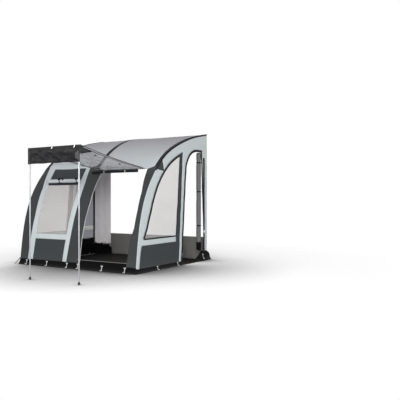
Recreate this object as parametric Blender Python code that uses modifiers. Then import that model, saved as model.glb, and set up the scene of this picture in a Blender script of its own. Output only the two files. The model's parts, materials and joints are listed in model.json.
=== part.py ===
"""Inflatable porch awning: three air beams, two bays, two side walls, a raised canopy on poles.

Metres, +Z up. +X runs along the rail to the right and +Y towards the rail.
The origin is on the ground, under the middle of the footprint.
"""
import math

import bmesh
import bpy
import numpy as np
from mathutils import Matrix, Vector

# Overall sizes
WIDTH = 2.60            # between the outer faces of the side walls
DEPTH = 2.25            # from the rail plane to the front foot of the arch
RAIL_HEIGHT = 2.42      # top of the arch at the rail
CLOTH = 0.0015          # sewn cloth with its seams
GAP = 0.0003            # between pieces that touch
BEAM_RADIUS = 0.055     # inflated air beam
BEAM_CLEAR = 0.0008     # between a beam and its cover

HALF_WIDTH = WIDTH / 2
FRONT_Y = -DEPTH / 2
RAIL_Y = DEPTH / 2

# Side profile of the arch, from the front foot to the rail: shares of depth and of rail height
ARCH_SHARES = ((1.000, 0.000), (0.967, 0.248), (0.900, 0.475), (0.756, 0.686),
               (0.631, 0.795), (0.440, 0.888), (0.222, 0.957), (0.000, 1.000))
ARCH_STEPS = 600
CROWN_RISE = 0.065      # the roof stands higher at the centre beam than at the side walls

# Heights measured along the cloth, up the front of the arch
FRONT_SKIRT = 0.078     # bottom of the front panels, behind the mud skirt
BAR_BOTTOM = 0.477      # cross bar of the light trim
BAR_TOP = 0.570
WINDOW_TOP = 1.490
LEFT_EAVE = 1.88        # lower edge of the left roof sheet
RIGHT_EAVE = 1.80       # lower edge of the right roof sheet
EAVE_STEP = 0.06        # over which a wide front band narrows to a roof tape
ROW_PITCH = 0.105       # faceting along the arch
ROW_CLEAR = 0.03        # least distance between a facet line and a seam

TAPE_WIDTH = 0.058      # dark tape over a beam, on the roof

# Edges of the front bands: shares of the eave's height up the cloth, and of the half width
BAND_LEFT_SHARES = ((0.00, -0.858), (0.48, -0.815), (0.75, -0.838), (1.00, -0.930))
TRIM_LEFT_SHARES = ((0.00, -0.768), (0.24, -0.744), (0.50, -0.742), (0.78, -0.758), (1.00, -0.802))
TRIM_RIGHT_SHARES = ((0.00, -0.222), (0.25, -0.182), (0.48, -0.161), (0.67, -0.147), (0.85, -0.180),
                     (1.00, -0.212))
BAND_CENTRE_LEFT_SHARES = ((0.00, -0.146), (0.30, -0.094), (0.48, -0.072), (0.65, -0.057),
                           (0.80, -0.072), (1.00, -0.142))
BAND_CENTRE_RIGHT_SHARES = ((0.00, 0.094), (0.28, 0.102), (0.48, 0.120), (0.62, 0.136),
                            (0.80, 0.130), (1.00, 0.122))
BAND_RIGHT_SHARES = ((0.00, 0.842), (0.20, 0.869), (0.27, 0.878), (0.40, 0.922), (0.56, 0.932),
                     (0.73, 0.926), (0.86, 0.892), (1.00, 0.862))

# Rolled pieces on the front
BLIND_RADIUS = 0.036
BLIND_RISE = 1.553
SCREEN_RADIUS = 0.025
SCREEN_DROP = 0.058     # below the right eave
SCREEN_LEFT = -0.030
SCREEN_LENGTH = 0.98

# Side walls. Depths are measured square to the arch; heights are above the ground
SIDE_SKIRT = 0.050      # bottom of the wall panels, behind the mud skirt
SIDE_TRIM_SHARES = ((0.00, 0.42), (0.18, 0.45), (0.30, 0.62), (0.42, 0.90), (0.56, 1.00), (0.72, 0.95),
                    (0.85, 0.86), (1.10, 0.83), (2.00, 0.80))   # of the left eave, of the trim's depth
SIDE_TRIM_DEPTH = 0.210
SIDE_BAR_BOTTOM = 0.430
SIDE_BAR_TOP = 0.530
SIDE_BAR_END = 1.100    # from the rail plane, also to the film's rear edge
TRIM_TOP_SHARE = 0.690  # of the rail height
GUSSET_SETBACK = 0.735  # from the front foot, where the light upper panel starts
NECK = 0.052            # dark cloth between the front trim and the upper panel
WINDOW_BORDER = 0.034
JAMB_FOOT = 1.000       # from the rail plane to the jamb strip's front edge, at the ground
JAMB_TOP = 0.870        # the same at the top of the window
JAMB_WIDTH = 0.070
FILM_TOP = 0.965        # from the rail plane to the film's rear top corner
REAR_STRIP = 0.078      # light strip behind the side doorway
REAR_STRIP_TOP = 0.190
REAR_STRIP_FOOT = 0.170
DOOR_DROP = 0.330       # top of the doorway, below the rail
DOOR_CURVE_RISE = 0.450 # height over which the doorway's front side curves in
DOOR_CROWN = 0.370      # from the rail plane, where that curve ends
DOOR_CURVE_STEPS = 8
BINDING_WIDTH = 0.034
DOOR_SPLIT = 0.350      # top of the closed door's black foot
FOOT_FRONT = 0.430      # rear corner skirt: from the rail plane, forwards
FOOT_BACK = 0.130       # and behind it
FOOT_HEIGHT = 0.200
FOOT_TOP_SHARES = ((0.00, 0.30), (0.20, 0.62), (0.36, 1.00), (0.52, 0.95), (0.77, 0.90), (0.95, 0.62),
                   (1.00, 0.25))

# Skirts, floor and sill
FLARE = 0.034           # skirts spread at the ground
SKIRT_FRONT_TOP = 0.108
SKIRT_CORNER_TOP = 0.092
SKIRT_SIDE_TOP = 0.066
HEM_TOP = 0.010         # the skirt is only a low hem across the open side doorway
HEM_STEP = 0.030        # over which it comes down to that
SILL_HEIGHT = 0.158
SILL_END = 0.004        # between the sill and the beams beside it
SHEET_INSET = 0.150     # the groundsheet starts behind the beams' feet
DRAUGHT_HEIGHT = 0.440

# Canopy: the right bay's front panel, raised
CANOPY_LAP = 0.006      # the canopy's root lies this far above the right eave
CANOPY_STANDOFF = 0.0014   # of its upper face, from the eave
CANOPY_ROOT_LEFT = 0.100
CANOPY_ROOT_RIGHT = 1.100
CANOPY_END_LEFT = 0.250
CANOPY_END_RIGHT = 1.230
POLE_REACH = 1.150      # poles stand this far in front of the arch's foot
BAR_HEIGHT = 1.896
BAR_RADIUS = 0.011
COVER_TURN = 40         # degrees that the canopy's end wraps forward over the bar
SLEEVE_START = 10       # degrees from the bar's top where the valance's sleeve starts, under that end
CANOPY_TRIM = 0.095
CANOPY_HEAD = 0.060
CANOPY_DARK = 0.350
CANOPY_SAG = 0.036
VALANCE_DROP = 0.225
VALANCE_REACH = 0.015   # the valance hangs this far in front of the bar's axis
FOLD_DEPTH = 0.012
FOLD_COUNT = 6.5
DRIFT_COUNT = 0.7       # folds that the pattern drifts sideways over the drop
SAG_EDGE_SHARE = 0.6    # of the middle's sag, at the canopy's side edges

# Canopy poles
POLE_LEFT = 0.263
POLE_RIGHT = 1.217
POLE_RADIUS = 0.011
POLE_WALL = 0.0012
POLE_JOINT = 1.020      # lower end of the outer tube
POLE_OVERLAP = 0.260    # of the inner tube inside the outer one
POLE_CLEAR = 0.0006
POLE_SEAT = 0.0005
FOOT_RADIUS = 0.017
FOOT_LENGTH = 0.040

# Rear edge
PAD_WIDTH = 0.060
PAD_DEPTH = 0.030
PAD_DROP = 0.220        # top of the pads, below the rail
REAR_POLE_DROP = 0.040  # top of the rear poles, below the pads' top
REAR_POLE_JOINT = 1.150
BEAD_RADIUS = 0.0035
FLAP_START_BACK = 0.270 # on the left wall, in front of the rail plane
FLAP_REACH = 0.250      # free edge, in from the side wall
FLAP_END_BACK = 0.040
FLAP_DROP = 0.220       # top edge, below the rail
FLAP_BOTTOM = 0.215
FLAP_FOLD = 0.014
FLAP_FOLDS = 4.0

# Rolled door and closed door
ROLL_RADIUS = 0.050
ROLL_SETBACK = 0.216
ROLL_BOTTOM = 0.210
ROLL_DROP = 0.090       # top of the rolled door, below the doorway's top

# Valves on the beams
VALVE_RISE = 0.420
VALVE_RADIUS = 0.024
VALVE_HEIGHT = 0.009
CAP_RADIUS = 0.019
CAP_HEIGHT = 0.012

# Zip sliders
SLIDER_HEIGHT = 0.200
SLIDER_WIDTH = 0.014
SLIDER_LENGTH = 0.022
SLIDER_THICKNESS = 0.005
PULL_WIDTH = 0.007
PULL_LENGTH = 0.034

ROUND_STEPS = 20

# Places that follow the rail, the depth or the right eave
CANOPY_RISE = RIGHT_EAVE + CANOPY_LAP
SCREEN_RISE = RIGHT_EAVE - SCREEN_DROP
TRIM_TOP = RAIL_HEIGHT * TRIM_TOP_SHARE
GUSSET_TIP = DEPTH - GUSSET_SETBACK
DOOR_HEIGHT = RAIL_HEIGHT - DOOR_DROP
DOOR_SHOULDER = DOOR_HEIGHT - DOOR_CURVE_RISE
PAD_TOP = RAIL_HEIGHT - PAD_DROP
REAR_POLE_TOP = PAD_TOP - REAR_POLE_DROP
FLAP_TOP = RAIL_HEIGHT - FLAP_DROP
ROLL_TOP = DOOR_HEIGHT - ROLL_DROP


for old in list(bpy.data.objects):
    bpy.data.objects.remove(old, do_unlink=True)

parts = bpy.data.collections.new("porch_awning")
bpy.context.scene.collection.children.link(parts)


def finish(name, colour, roughness, metallic=0.0):
    """One Principled material."""
    material = bpy.data.materials.new(name)
    material.use_nodes = True
    shader = material.node_tree.nodes["Principled BSDF"]
    shader.inputs["Base Color"].default_value = (*colour, 1.0)
    shader.inputs["Roughness"].default_value = roughness
    shader.inputs["Metallic"].default_value = metallic
    return material


ROOF_CLOTH = finish("roof_cloth", (0.36, 0.37, 0.38), 0.75)
LIGHT_CLOTH = finish("light_cloth", (0.58, 0.63, 0.64), 0.75)
DARK_CLOTH = finish("dark_cloth", (0.055, 0.065, 0.068), 0.8)
TAPE_CLOTH = finish("tape_cloth", (0.032, 0.032, 0.036), 0.8)
BLACK_VINYL = finish("black_vinyl", (0.009, 0.009, 0.010), 0.5)
CLEAR_FILM = finish("clear_film", (0.70, 0.70, 0.68), 0.1)
BEAM_SLEEVE = finish("beam_sleeve", (0.05, 0.05, 0.055), 0.7)
STEEL_TUBE = finish("steel_tube", (0.62, 0.63, 0.65), 0.3, 1.0)
BLACK_RUBBER = finish("black_rubber", (0.02, 0.02, 0.02), 0.7)
VALVE_PLASTIC = finish("valve_plastic", (0.03, 0.03, 0.03), 0.45)
PAD_CLOTH = finish("pad_cloth", (0.12, 0.12, 0.125), 0.85)


def keep(obj, name, material):
    """Name an object, give it its material and put it in the awning's collection."""
    for home in list(obj.users_collection):
        home.objects.unlink(obj)
    parts.objects.link(obj)
    obj.name = name
    obj.data.name = name
    obj.data.materials.clear()
    obj.data.materials.append(material)
    return obj


def pivot(name, place):
    """An empty on a joint's axis, which carries the pieces of a moving body."""
    empty = bpy.data.objects.new(name, None)
    empty.location = place
    parts.objects.link(empty)
    return empty


def carry(empty, *pieces):
    for piece in pieces:
        piece.parent = empty
        piece.matrix_parent_inverse = Matrix.Translation(empty.location).inverted()


def spline_through(knots, values, at):
    """Natural cubic spline through a few values."""
    count = len(knots)
    steps = np.diff(knots)
    slopes = np.diff(values) / steps
    system = np.zeros((count, count))
    right = np.zeros(count)
    system[0, 0] = 1.0
    system[-1, -1] = 1.0
    for i in range(1, count - 1):
        system[i, i - 1] = steps[i - 1]
        system[i, i] = 2 * (steps[i - 1] + steps[i])
        system[i, i + 1] = steps[i]
        right[i] = 6 * (slopes[i] - slopes[i - 1])
    bend = np.linalg.solve(system, right)
    cell = np.clip(np.searchsorted(knots, at, side="right") - 1, 0, count - 2)
    here = at - knots[cell]
    ahead = knots[cell + 1] - at
    width = steps[cell]
    return (bend[cell] * ahead ** 3 / (6 * width) + bend[cell + 1] * here ** 3 / (6 * width)
            + (values[cell] / width - bend[cell] * width / 6) * ahead
            + (values[cell + 1] / width - bend[cell + 1] * width / 6) * here)


arch_points = np.array([(RAIL_Y - DEPTH * back, RAIL_HEIGHT * up) for back, up in ARCH_SHARES])
arch_knots = np.concatenate([[0.0], np.cumsum(np.hypot(*np.diff(arch_points, axis=0).T))])
arch_at = np.linspace(0.0, arch_knots[-1], ARCH_STEPS)
arch_y = spline_through(arch_knots, arch_points[:, 0], arch_at)
arch_z = spline_through(arch_knots, arch_points[:, 1], arch_at)
arch_s = np.concatenate([[0.0], np.cumsum(np.hypot(np.diff(arch_y), np.diff(arch_z)))])
ARCH_LENGTH = float(arch_s[-1])
arch_ty = np.gradient(arch_y, arch_s)
arch_tz = np.gradient(arch_z, arch_s)


SEAMS = [0.0, FRONT_SKIRT, BAR_BOTTOM, BAR_TOP, WINDOW_TOP, LEFT_EAVE, RIGHT_EAVE,
         LEFT_EAVE + EAVE_STEP, RIGHT_EAVE + EAVE_STEP, ARCH_LENGTH]
ROWS = sorted(SEAMS + [s for s in np.linspace(0.0, ARCH_LENGTH, int(ARCH_LENGTH / ROW_PITCH))
                       if min(abs(s - seam) for seam in SEAMS) > ROW_CLEAR])


def rows(bottom, top):
    """Facet lines between two seams, with half a gap left at each."""
    inner = [s for s in ROWS if bottom + GAP < s < top - GAP]
    return [bottom + GAP / 2] + inner + [top - GAP / 2]


def skin(x, s, inset=0.0):
    """A point on the outer skin, s up the cloth from the ground and inset square to it.

    The skin is flat between facet lines, and crowned over the roof.
    """
    high = min(max(int(np.searchsorted(ROWS, s)), 1), len(ROWS) - 1)
    part = (s - ROWS[high - 1]) / (ROWS[high] - ROWS[high - 1])
    ends = []
    for row in ROWS[high - 1:high + 1]:
        share = min(max((row - LEFT_EAVE) / (ARCH_LENGTH - LEFT_EAVE), 0.0), 1.0)
        crown = CROWN_RISE * math.sin(math.pi * share) ** 2 * (1 - (x / HALF_WIDTH) ** 2)
        along_y = float(np.interp(row, arch_s, arch_ty))
        along_z = float(np.interp(row, arch_s, arch_tz))
        ends.append(Vector((x, float(np.interp(row, arch_s, arch_y)) + (inset - crown) * along_z,
                            float(np.interp(row, arch_s, arch_z)) - (inset - crown) * along_y)))
    return ends[0].lerp(ends[1], part)


def arch(s, inset=0.0):
    """The same as (y, z), at a side wall."""
    point = skin(HALF_WIDTH, s, inset)
    return point.y, point.z


def rise_at(height):
    """How far up the cloth the profile reaches a height."""
    return float(np.interp(height, arch_z, arch_s))


def from_shares(shares, eave, tape_edge):
    """An edge that follows a table up the front and steps to a tape's edge above the eave."""
    up = [share * eave for share, across in shares] + [eave + EAVE_STEP, ARCH_LENGTH]
    sideways = [across * HALF_WIDTH for share, across in shares] + [tape_edge, tape_edge]

    def edge(s):
        return float(np.interp(s, up, sideways))
    return edge


def between(left, right, share):
    """An edge at a share of the way from one edge to another."""
    return lambda s: left(s) + (right(s) - left(s)) * share


def shifted(edge, shift):
    """An edge moved sideways."""
    return lambda s: edge(s) + shift


def shell(name, material, columns, lines, place, outward, leave_out=None, thickness=CLOTH):
    """A cloth panel: a grid laid on a surface, with its thickness on the inner side."""
    across = len(columns) - 1
    along = len(lines) - 1
    mesh = bpy.data.meshes.new(name)
    form = bmesh.new()
    bmesh.ops.create_grid(form, x_segments=across, y_segments=along, size=1.0)
    if leave_out:
        gone = []
        for face in form.faces:
            centre = face.calc_center_median()
            i = int((centre.x + 1) / 2 * across)
            j = int((centre.y + 1) / 2 * along)
            if leave_out(i, j):
                gone.append(face)
        bmesh.ops.delete(form, geom=gone, context="FACES")
    for vertex in form.verts:
        i = round((vertex.co.x + 1) / 2 * across)
        j = round((vertex.co.y + 1) / 2 * along)
        line = lines[j]
        vertex.co = place(columns[i](line), line)
    form.normal_update()
    facing = sum((face.normal * face.calc_area() for face in form.faces), Vector())
    if facing.dot(Vector(outward)) < 0:
        bmesh.ops.reverse_faces(form, faces=form.faces)
    form.to_mesh(mesh)
    form.free()
    obj = keep(bpy.data.objects.new(name, mesh), name, material)
    solid = obj.modifiers.new("thickness", "SOLIDIFY")
    solid.thickness = thickness
    solid.offset = -1.0
    solid.use_even_offset = True
    return obj


def inset_loop(points, distance):
    """A closed outline drawn in by a small distance on every side."""
    count = len(points)
    area = sum(points[i][0] * points[(i + 1) % count][1] - points[(i + 1) % count][0] * points[i][1]
               for i in range(count))
    turn = 1.0 if area > 0 else -1.0
    result = []
    for i in range(count):
        before, here, after = (Vector(points[(i + k) % count]) for k in (-1, 0, 1))
        first = (here - before).normalized()
        second = (after - here).normalized()
        square_first = Vector((-first.y, first.x)) * turn
        square_second = Vector((-second.y, second.x)) * turn
        mitre = (square_first + square_second).normalized()
        result.append(here + mitre * distance / max(mitre.dot(square_first), 0.2))
    return result


def flat_piece(name, material, outline, side):
    """A cloth piece in a side wall's plane; its outline is (y, z) points."""
    curve = bpy.data.curves.new(name, "CURVE")
    curve.dimensions = "2D"
    curve.fill_mode = "BOTH"
    curve.extrude = CLOTH / 2
    loop = inset_loop(outline, GAP / 2)
    spline = curve.splines.new("POLY")
    spline.points.add(len(loop) - 1)
    for point, place in zip(spline.points, loop):
        point.co = (*place, 0.0, 1.0)
    spline.use_cyclic_u = True
    obj = keep(bpy.data.objects.new(name, curve), name, material)
    obj.rotation_euler = (math.pi / 2, 0.0, math.pi / 2)
    obj.location = (side * (HALF_WIDTH - CLOTH / 2), 0.0, 0.0)
    return obj


def rod(name, material, start, end, radius, steps=ROUND_STEPS, bevel=0.0):
    """A round bar between two points."""
    start, end = Vector(start), Vector(end)
    bpy.ops.mesh.primitive_cylinder_add(vertices=steps, radius=radius, depth=(end - start).length)
    obj = keep(bpy.context.object, name, material)
    obj.location = (start + end) / 2
    obj.rotation_euler = (end - start).to_track_quat("Z", "Y").to_euler()
    if bevel:
        edge = obj.modifiers.new("edge", "BEVEL")
        edge.width = bevel
        edge.segments = 2
        edge.limit_method = "ANGLE"
    obj.data.shade_smooth()
    obj.data.set_sharp_from_angle(angle=math.radians(40))
    return obj


def turned(name, material, profile, place, closed=False):
    """A profile of (radius, height) points turned about an upright axis."""
    mesh = bpy.data.meshes.new(name)
    form = bmesh.new()
    corners = [form.verts.new((radius, 0.0, height)) for radius, height in profile]
    for first, second in zip(corners, corners[1:]):
        form.edges.new((first, second))
    if closed:
        form.edges.new((corners[-1], corners[0]))
    form.to_mesh(mesh)
    form.free()
    obj = keep(bpy.data.objects.new(name, mesh), name, material)
    obj.location = place
    screw = obj.modifiers.new("turned", "SCREW")
    screw.steps = ROUND_STEPS
    screw.render_steps = ROUND_STEPS
    screw.use_merge_vertices = True
    screw.merge_threshold = GAP / 3
    return obj


def box(name, material, low, high):
    """A plain block between two corners."""
    bpy.ops.mesh.primitive_cube_add(size=1.0)
    obj = keep(bpy.context.object, name, material)
    low, high = Vector(low), Vector(high)
    obj.data.transform(Matrix.Diagonal((*(high - low), 1.0)))
    obj.location = (low + high) / 2
    return obj


# Edges of everything that lies on the arch, from left to right
band_left = from_shares(BAND_LEFT_SHARES, LEFT_EAVE, -HALF_WIDTH + TAPE_WIDTH)
trim_left = from_shares(TRIM_LEFT_SHARES, LEFT_EAVE, -HALF_WIDTH)
trim_right = from_shares(TRIM_RIGHT_SHARES, LEFT_EAVE, 0.0)
band_centre_left = from_shares(BAND_CENTRE_LEFT_SHARES, LEFT_EAVE, -TAPE_WIDTH / 2)
band_centre_right = from_shares(BAND_CENTRE_RIGHT_SHARES, RIGHT_EAVE, TAPE_WIDTH / 2)
band_right = from_shares(BAND_RIGHT_SHARES, RIGHT_EAVE, HALF_WIDTH - TAPE_WIDTH)
HALF_GAP = GAP / 2
UP_AND_OUT = (0.0, -1.0, 1.0)

BEAM_INSET = CLOTH + BEAM_CLEAR + BEAM_RADIUS
BEAM_PLACES = {"left": -HALF_WIDTH + BEAM_INSET, "centre": 0.0, "right": HALF_WIDTH - BEAM_INSET}


def build_beams():
    """Air beams under the skin, with a screw valve and its cap on each leg."""
    for side, x in BEAM_PLACES.items():
        route = [skin(x, s, BEAM_INSET) for s in ROWS[1:]]
        route[-1] = skin(x, ARCH_LENGTH - BEAM_RADIUS, BEAM_INSET)
        route.insert(0, Vector((x, route[0].y, 0.0)))
        curve = bpy.data.curves.new("air_beam", "CURVE")
        curve.dimensions = "3D"
        curve.bevel_depth = BEAM_RADIUS
        curve.bevel_resolution = 8
        curve.use_fill_caps = True
        spline = curve.splines.new("POLY")
        spline.points.add(len(route) - 1)
        for point, place in zip(spline.points, route):
            point.co = (*place, 1.0)
        keep(bpy.data.objects.new("air_beam", curve), f"air_beam_{side}", BEAM_SLEEVE)

        foot = skin(x, VALVE_RISE, BEAM_INSET + BEAM_RADIUS)
        inward = (skin(x, VALVE_RISE, CLOTH) - skin(x, VALVE_RISE)).normalized()
        base = foot + inward * GAP
        top = base + inward * VALVE_HEIGHT
        rod(f"valve_{side}", VALVE_PLASTIC, base, top, VALVE_RADIUS)
        cap_base = top + inward * GAP
        cap = rod(f"valve_cap_{side}", VALVE_PLASTIC, cap_base, cap_base + inward * CAP_HEIGHT, CAP_RADIUS,
                  bevel=CLOTH)
        spin = pivot(f"valve_cap_{side}_axis", cap_base)
        carry(spin, cap)


def build_covers():
    """Dark covers over the beams: wide bands down the front, narrow tapes over the roof."""
    edges = {"left": (lambda s: -HALF_WIDTH, shifted(band_left, -HALF_GAP)),
             "centre": (shifted(band_centre_left, HALF_GAP), shifted(band_centre_right, -HALF_GAP)),
             "right": (shifted(band_right, HALF_GAP), lambda s: HALF_WIDTH)}
    for side, (left, right) in edges.items():
        columns = [between(left, right, share) for share in (0.0, 0.5, 1.0)]
        shell(f"beam_cover_{side}", TAPE_CLOTH, columns, rows(FRONT_SKIRT, ARCH_LENGTH), skin, UP_AND_OUT)


def build_roof():
    """Two roof sheets between the tapes, and the bead that slides into the rail."""
    for side, left, right, eave in (("left", band_left, band_centre_left, LEFT_EAVE),
                                    ("right", band_centre_right, band_right, RIGHT_EAVE)):
        first, last = shifted(left, HALF_GAP), shifted(right, -HALF_GAP)
        columns = [between(first, last, i / 7) for i in range(8)]
        shell(f"roof_panel_{side}", ROOF_CLOTH, columns, rows(eave, ARCH_LENGTH), skin, UP_AND_OUT)
    bead = skin(0.0, ARCH_LENGTH) + Vector((0.0, BEAD_RADIUS + GAP, -BEAD_RADIUS))
    rod("rail_bead", TAPE_CLOTH, bead - Vector((HALF_WIDTH, 0.0, 0.0)), bead + Vector((HALF_WIDTH, 0.0, 0.0)),
        BEAD_RADIUS, steps=10)


def build_left_bay():
    """Light trim with a cross bar, dark panels above and below, a clear window and its rolled blind."""
    lines = rows(FRONT_SKIRT, LEFT_EAVE)
    bar = [j for j, s in enumerate(lines[:-1]) if BAR_BOTTOM <= s < BAR_TOP]
    columns = [shifted(band_left, HALF_GAP), trim_left]
    columns += [between(trim_left, trim_right, share) for share in (0.25, 0.5, 0.75)]
    columns += [trim_right, shifted(band_centre_left, -HALF_GAP)]
    shell("bay_trim", LIGHT_CLOTH, columns, lines, skin, UP_AND_OUT,
          leave_out=lambda i, j: 0 < i < len(columns) - 2 and j not in bar)
    inner_left, inner_right = shifted(trim_left, GAP), shifted(trim_right, -GAP)
    inner = [between(inner_left, inner_right, i / 4) for i in range(5)]
    for name, material, bottom, top in (("bay_lower_panel", DARK_CLOTH, FRONT_SKIRT, BAR_BOTTOM),
                                        ("bay_window", CLEAR_FILM, BAR_TOP, WINDOW_TOP),
                                        ("bay_upper_panel", DARK_CLOTH, WINDOW_TOP, LEFT_EAVE)):
        shell(name, material, inner, rows(bottom, top), skin, UP_AND_OUT)
    ends = [skin(edge(BLIND_RISE), BLIND_RISE, -BLIND_RADIUS - GAP) for edge in (trim_left, trim_right)]
    rod("blind_roll", LIGHT_CLOTH, *ends, BLIND_RADIUS, bevel=BLIND_RADIUS / 4)


def build_right_bay():
    """The open doorway keeps only a sill and the fly screen, rolled up under the eave."""
    start = skin(SCREEN_LEFT, SCREEN_RISE, -SCREEN_RADIUS - GAP)
    rod("screen_roll", BLACK_VINYL, start, start + Vector((SCREEN_LENGTH, 0.0, 0.0)), SCREEN_RADIUS,
        bevel=SCREEN_RADIUS / 4)
    left = BEAM_PLACES["centre"] + BEAM_RADIUS + SILL_END
    right = BEAM_PLACES["right"] - BEAM_RADIUS - SILL_END
    columns = [lambda s, x=left + (right - left) * share: x for share in (0.0, 0.5, 1.0)]
    low, high = rise_at(CLOTH + GAP), rise_at(SILL_HEIGHT)
    lines = [low] + [s for s in ROWS if low < s < high] + [high]
    shell("door_sill", BLACK_VINYL, columns, lines, lambda x, s: skin(x, s, CLOTH + GAP), UP_AND_OUT)


SKIN_DEPTH = CLOTH + HALF_GAP       # a side wall's edge lies just under the skin


def under_skin(s):
    """A point on a side wall's outer edge."""
    return arch(s, SKIN_DEPTH)


def trim_edge(s, border=0.0):
    """A point on the inner edge of the light trim, or of the dark border inside it."""
    up = [share * LEFT_EAVE for share, part in SIDE_TRIM_SHARES]
    deep = [part * SIDE_TRIM_DEPTH for share, part in SIDE_TRIM_SHARES]
    return arch(s, float(np.interp(s, up, deep)) + border)


def film_edge(s):
    """A point on the clear film's front edge."""
    return trim_edge(s, WINDOW_BORDER)


def stretch(edge, start, end):
    """Points along an edge between two rises, on the skin's facet lines and in the order given."""
    low, high = sorted((start, end))
    places = [low] + [s for s in ROWS if low + ROW_CLEAR < s < high - ROW_CLEAR] + [high]
    points = [edge(s) for s in places]
    return points if start < end else points[::-1]


def edge_rise(edge, height):
    """How far up the cloth an edge reaches a height."""
    heights = [edge(s)[1] for s in arch_s]
    top = int(np.argmax(heights))
    return float(np.interp(height, heights[:top], arch_s[:top]))


def edge_behind(edge, back):
    """How far up the cloth an edge reaches a distance in front of the rail."""
    return float(np.interp(RAIL_Y - back, [edge(s)[0] for s in arch_s], arch_s))


def doorway(extra=0.0):
    """The side doorway's outline, from its front foot over the top to its rear foot, drawn in by extra."""
    foot = RAIL_Y - JAMB_FOOT + JAMB_WIDTH + extra
    shoulder_y = RAIL_Y - JAMB_TOP + JAMB_WIDTH + extra
    crown_y = RAIL_Y - DOOR_CROWN
    points = [(foot, SIDE_SKIRT)]
    for step in range(DOOR_CURVE_STEPS + 1):
        angle = math.pi / 2 * step / DOOR_CURVE_STEPS
        points.append((crown_y - (crown_y - shoulder_y) * math.cos(angle),
                       DOOR_SHOULDER + (DOOR_HEIGHT - extra - DOOR_SHOULDER) * math.sin(angle)))
    points.append((RAIL_Y - REAR_STRIP_TOP - extra, DOOR_HEIGHT - extra))
    points.append((RAIL_Y - REAR_STRIP - extra, REAR_STRIP_FOOT))
    return points


def build_side(name, side):
    """One side wall, as flat cloth pieces edge to edge."""
    bar_end = RAIL_Y - SIDE_BAR_END
    jamb_foot = (RAIL_Y - JAMB_FOOT, SIDE_SKIRT)
    skirt_outer = edge_rise(under_skin, SIDE_SKIRT)
    trim_outer = edge_rise(under_skin, TRIM_TOP)
    tip_outer = edge_behind(under_skin, GUSSET_TIP)
    skirt_inner = edge_rise(trim_edge, SIDE_SKIRT)
    bar_low = edge_rise(trim_edge, SIDE_BAR_BOTTOM)
    bar_high = edge_rise(trim_edge, SIDE_BAR_TOP)
    trim_inner = edge_rise(trim_edge, TRIM_TOP - NECK / 2)
    neck = edge_behind(trim_edge, GUSSET_TIP - NECK)
    jamb_peak = edge_behind(trim_edge, JAMB_TOP)

    trim = stretch(under_skin, skirt_outer, trim_outer)
    trim += stretch(trim_edge, trim_inner, bar_high)
    trim += [(bar_end, SIDE_BAR_TOP), (bar_end, SIDE_BAR_BOTTOM)]
    trim += stretch(trim_edge, bar_low, skirt_inner)
    flat_piece(f"side_trim_{name}", LIGHT_CLOTH, trim, side)

    front = stretch(film_edge, edge_rise(film_edge, SIDE_BAR_TOP), edge_behind(film_edge, FILM_TOP))
    flat_piece(f"side_window_{name}", CLEAR_FILM, front + [(bar_end, SIDE_BAR_TOP)], side)

    surround = stretch(trim_edge, skirt_inner, bar_low)
    surround += [(bar_end, SIDE_BAR_BOTTOM), (bar_end, SIDE_BAR_TOP)]
    surround += front[::-1]
    surround += stretch(trim_edge, bar_high, trim_inner)
    surround += stretch(under_skin, trim_outer, tip_outer)
    surround += stretch(trim_edge, neck, jamb_peak)
    flat_piece(f"side_surround_{name}", DARK_CLOTH, surround + [jamb_foot], side)

    frame = stretch(under_skin, tip_outer, ARCH_LENGTH)
    frame += [(RAIL_Y, REAR_STRIP_FOOT)]
    frame += doorway()[::-1]
    frame += [jamb_foot]
    frame += stretch(trim_edge, jamb_peak, neck)
    flat_piece(f"side_frame_{name}", LIGHT_CLOTH, frame, side)

    flat_piece(f"door_binding_{name}", TAPE_CLOTH, doorway() + doorway(BINDING_WIDTH)[::-1], side)


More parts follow.
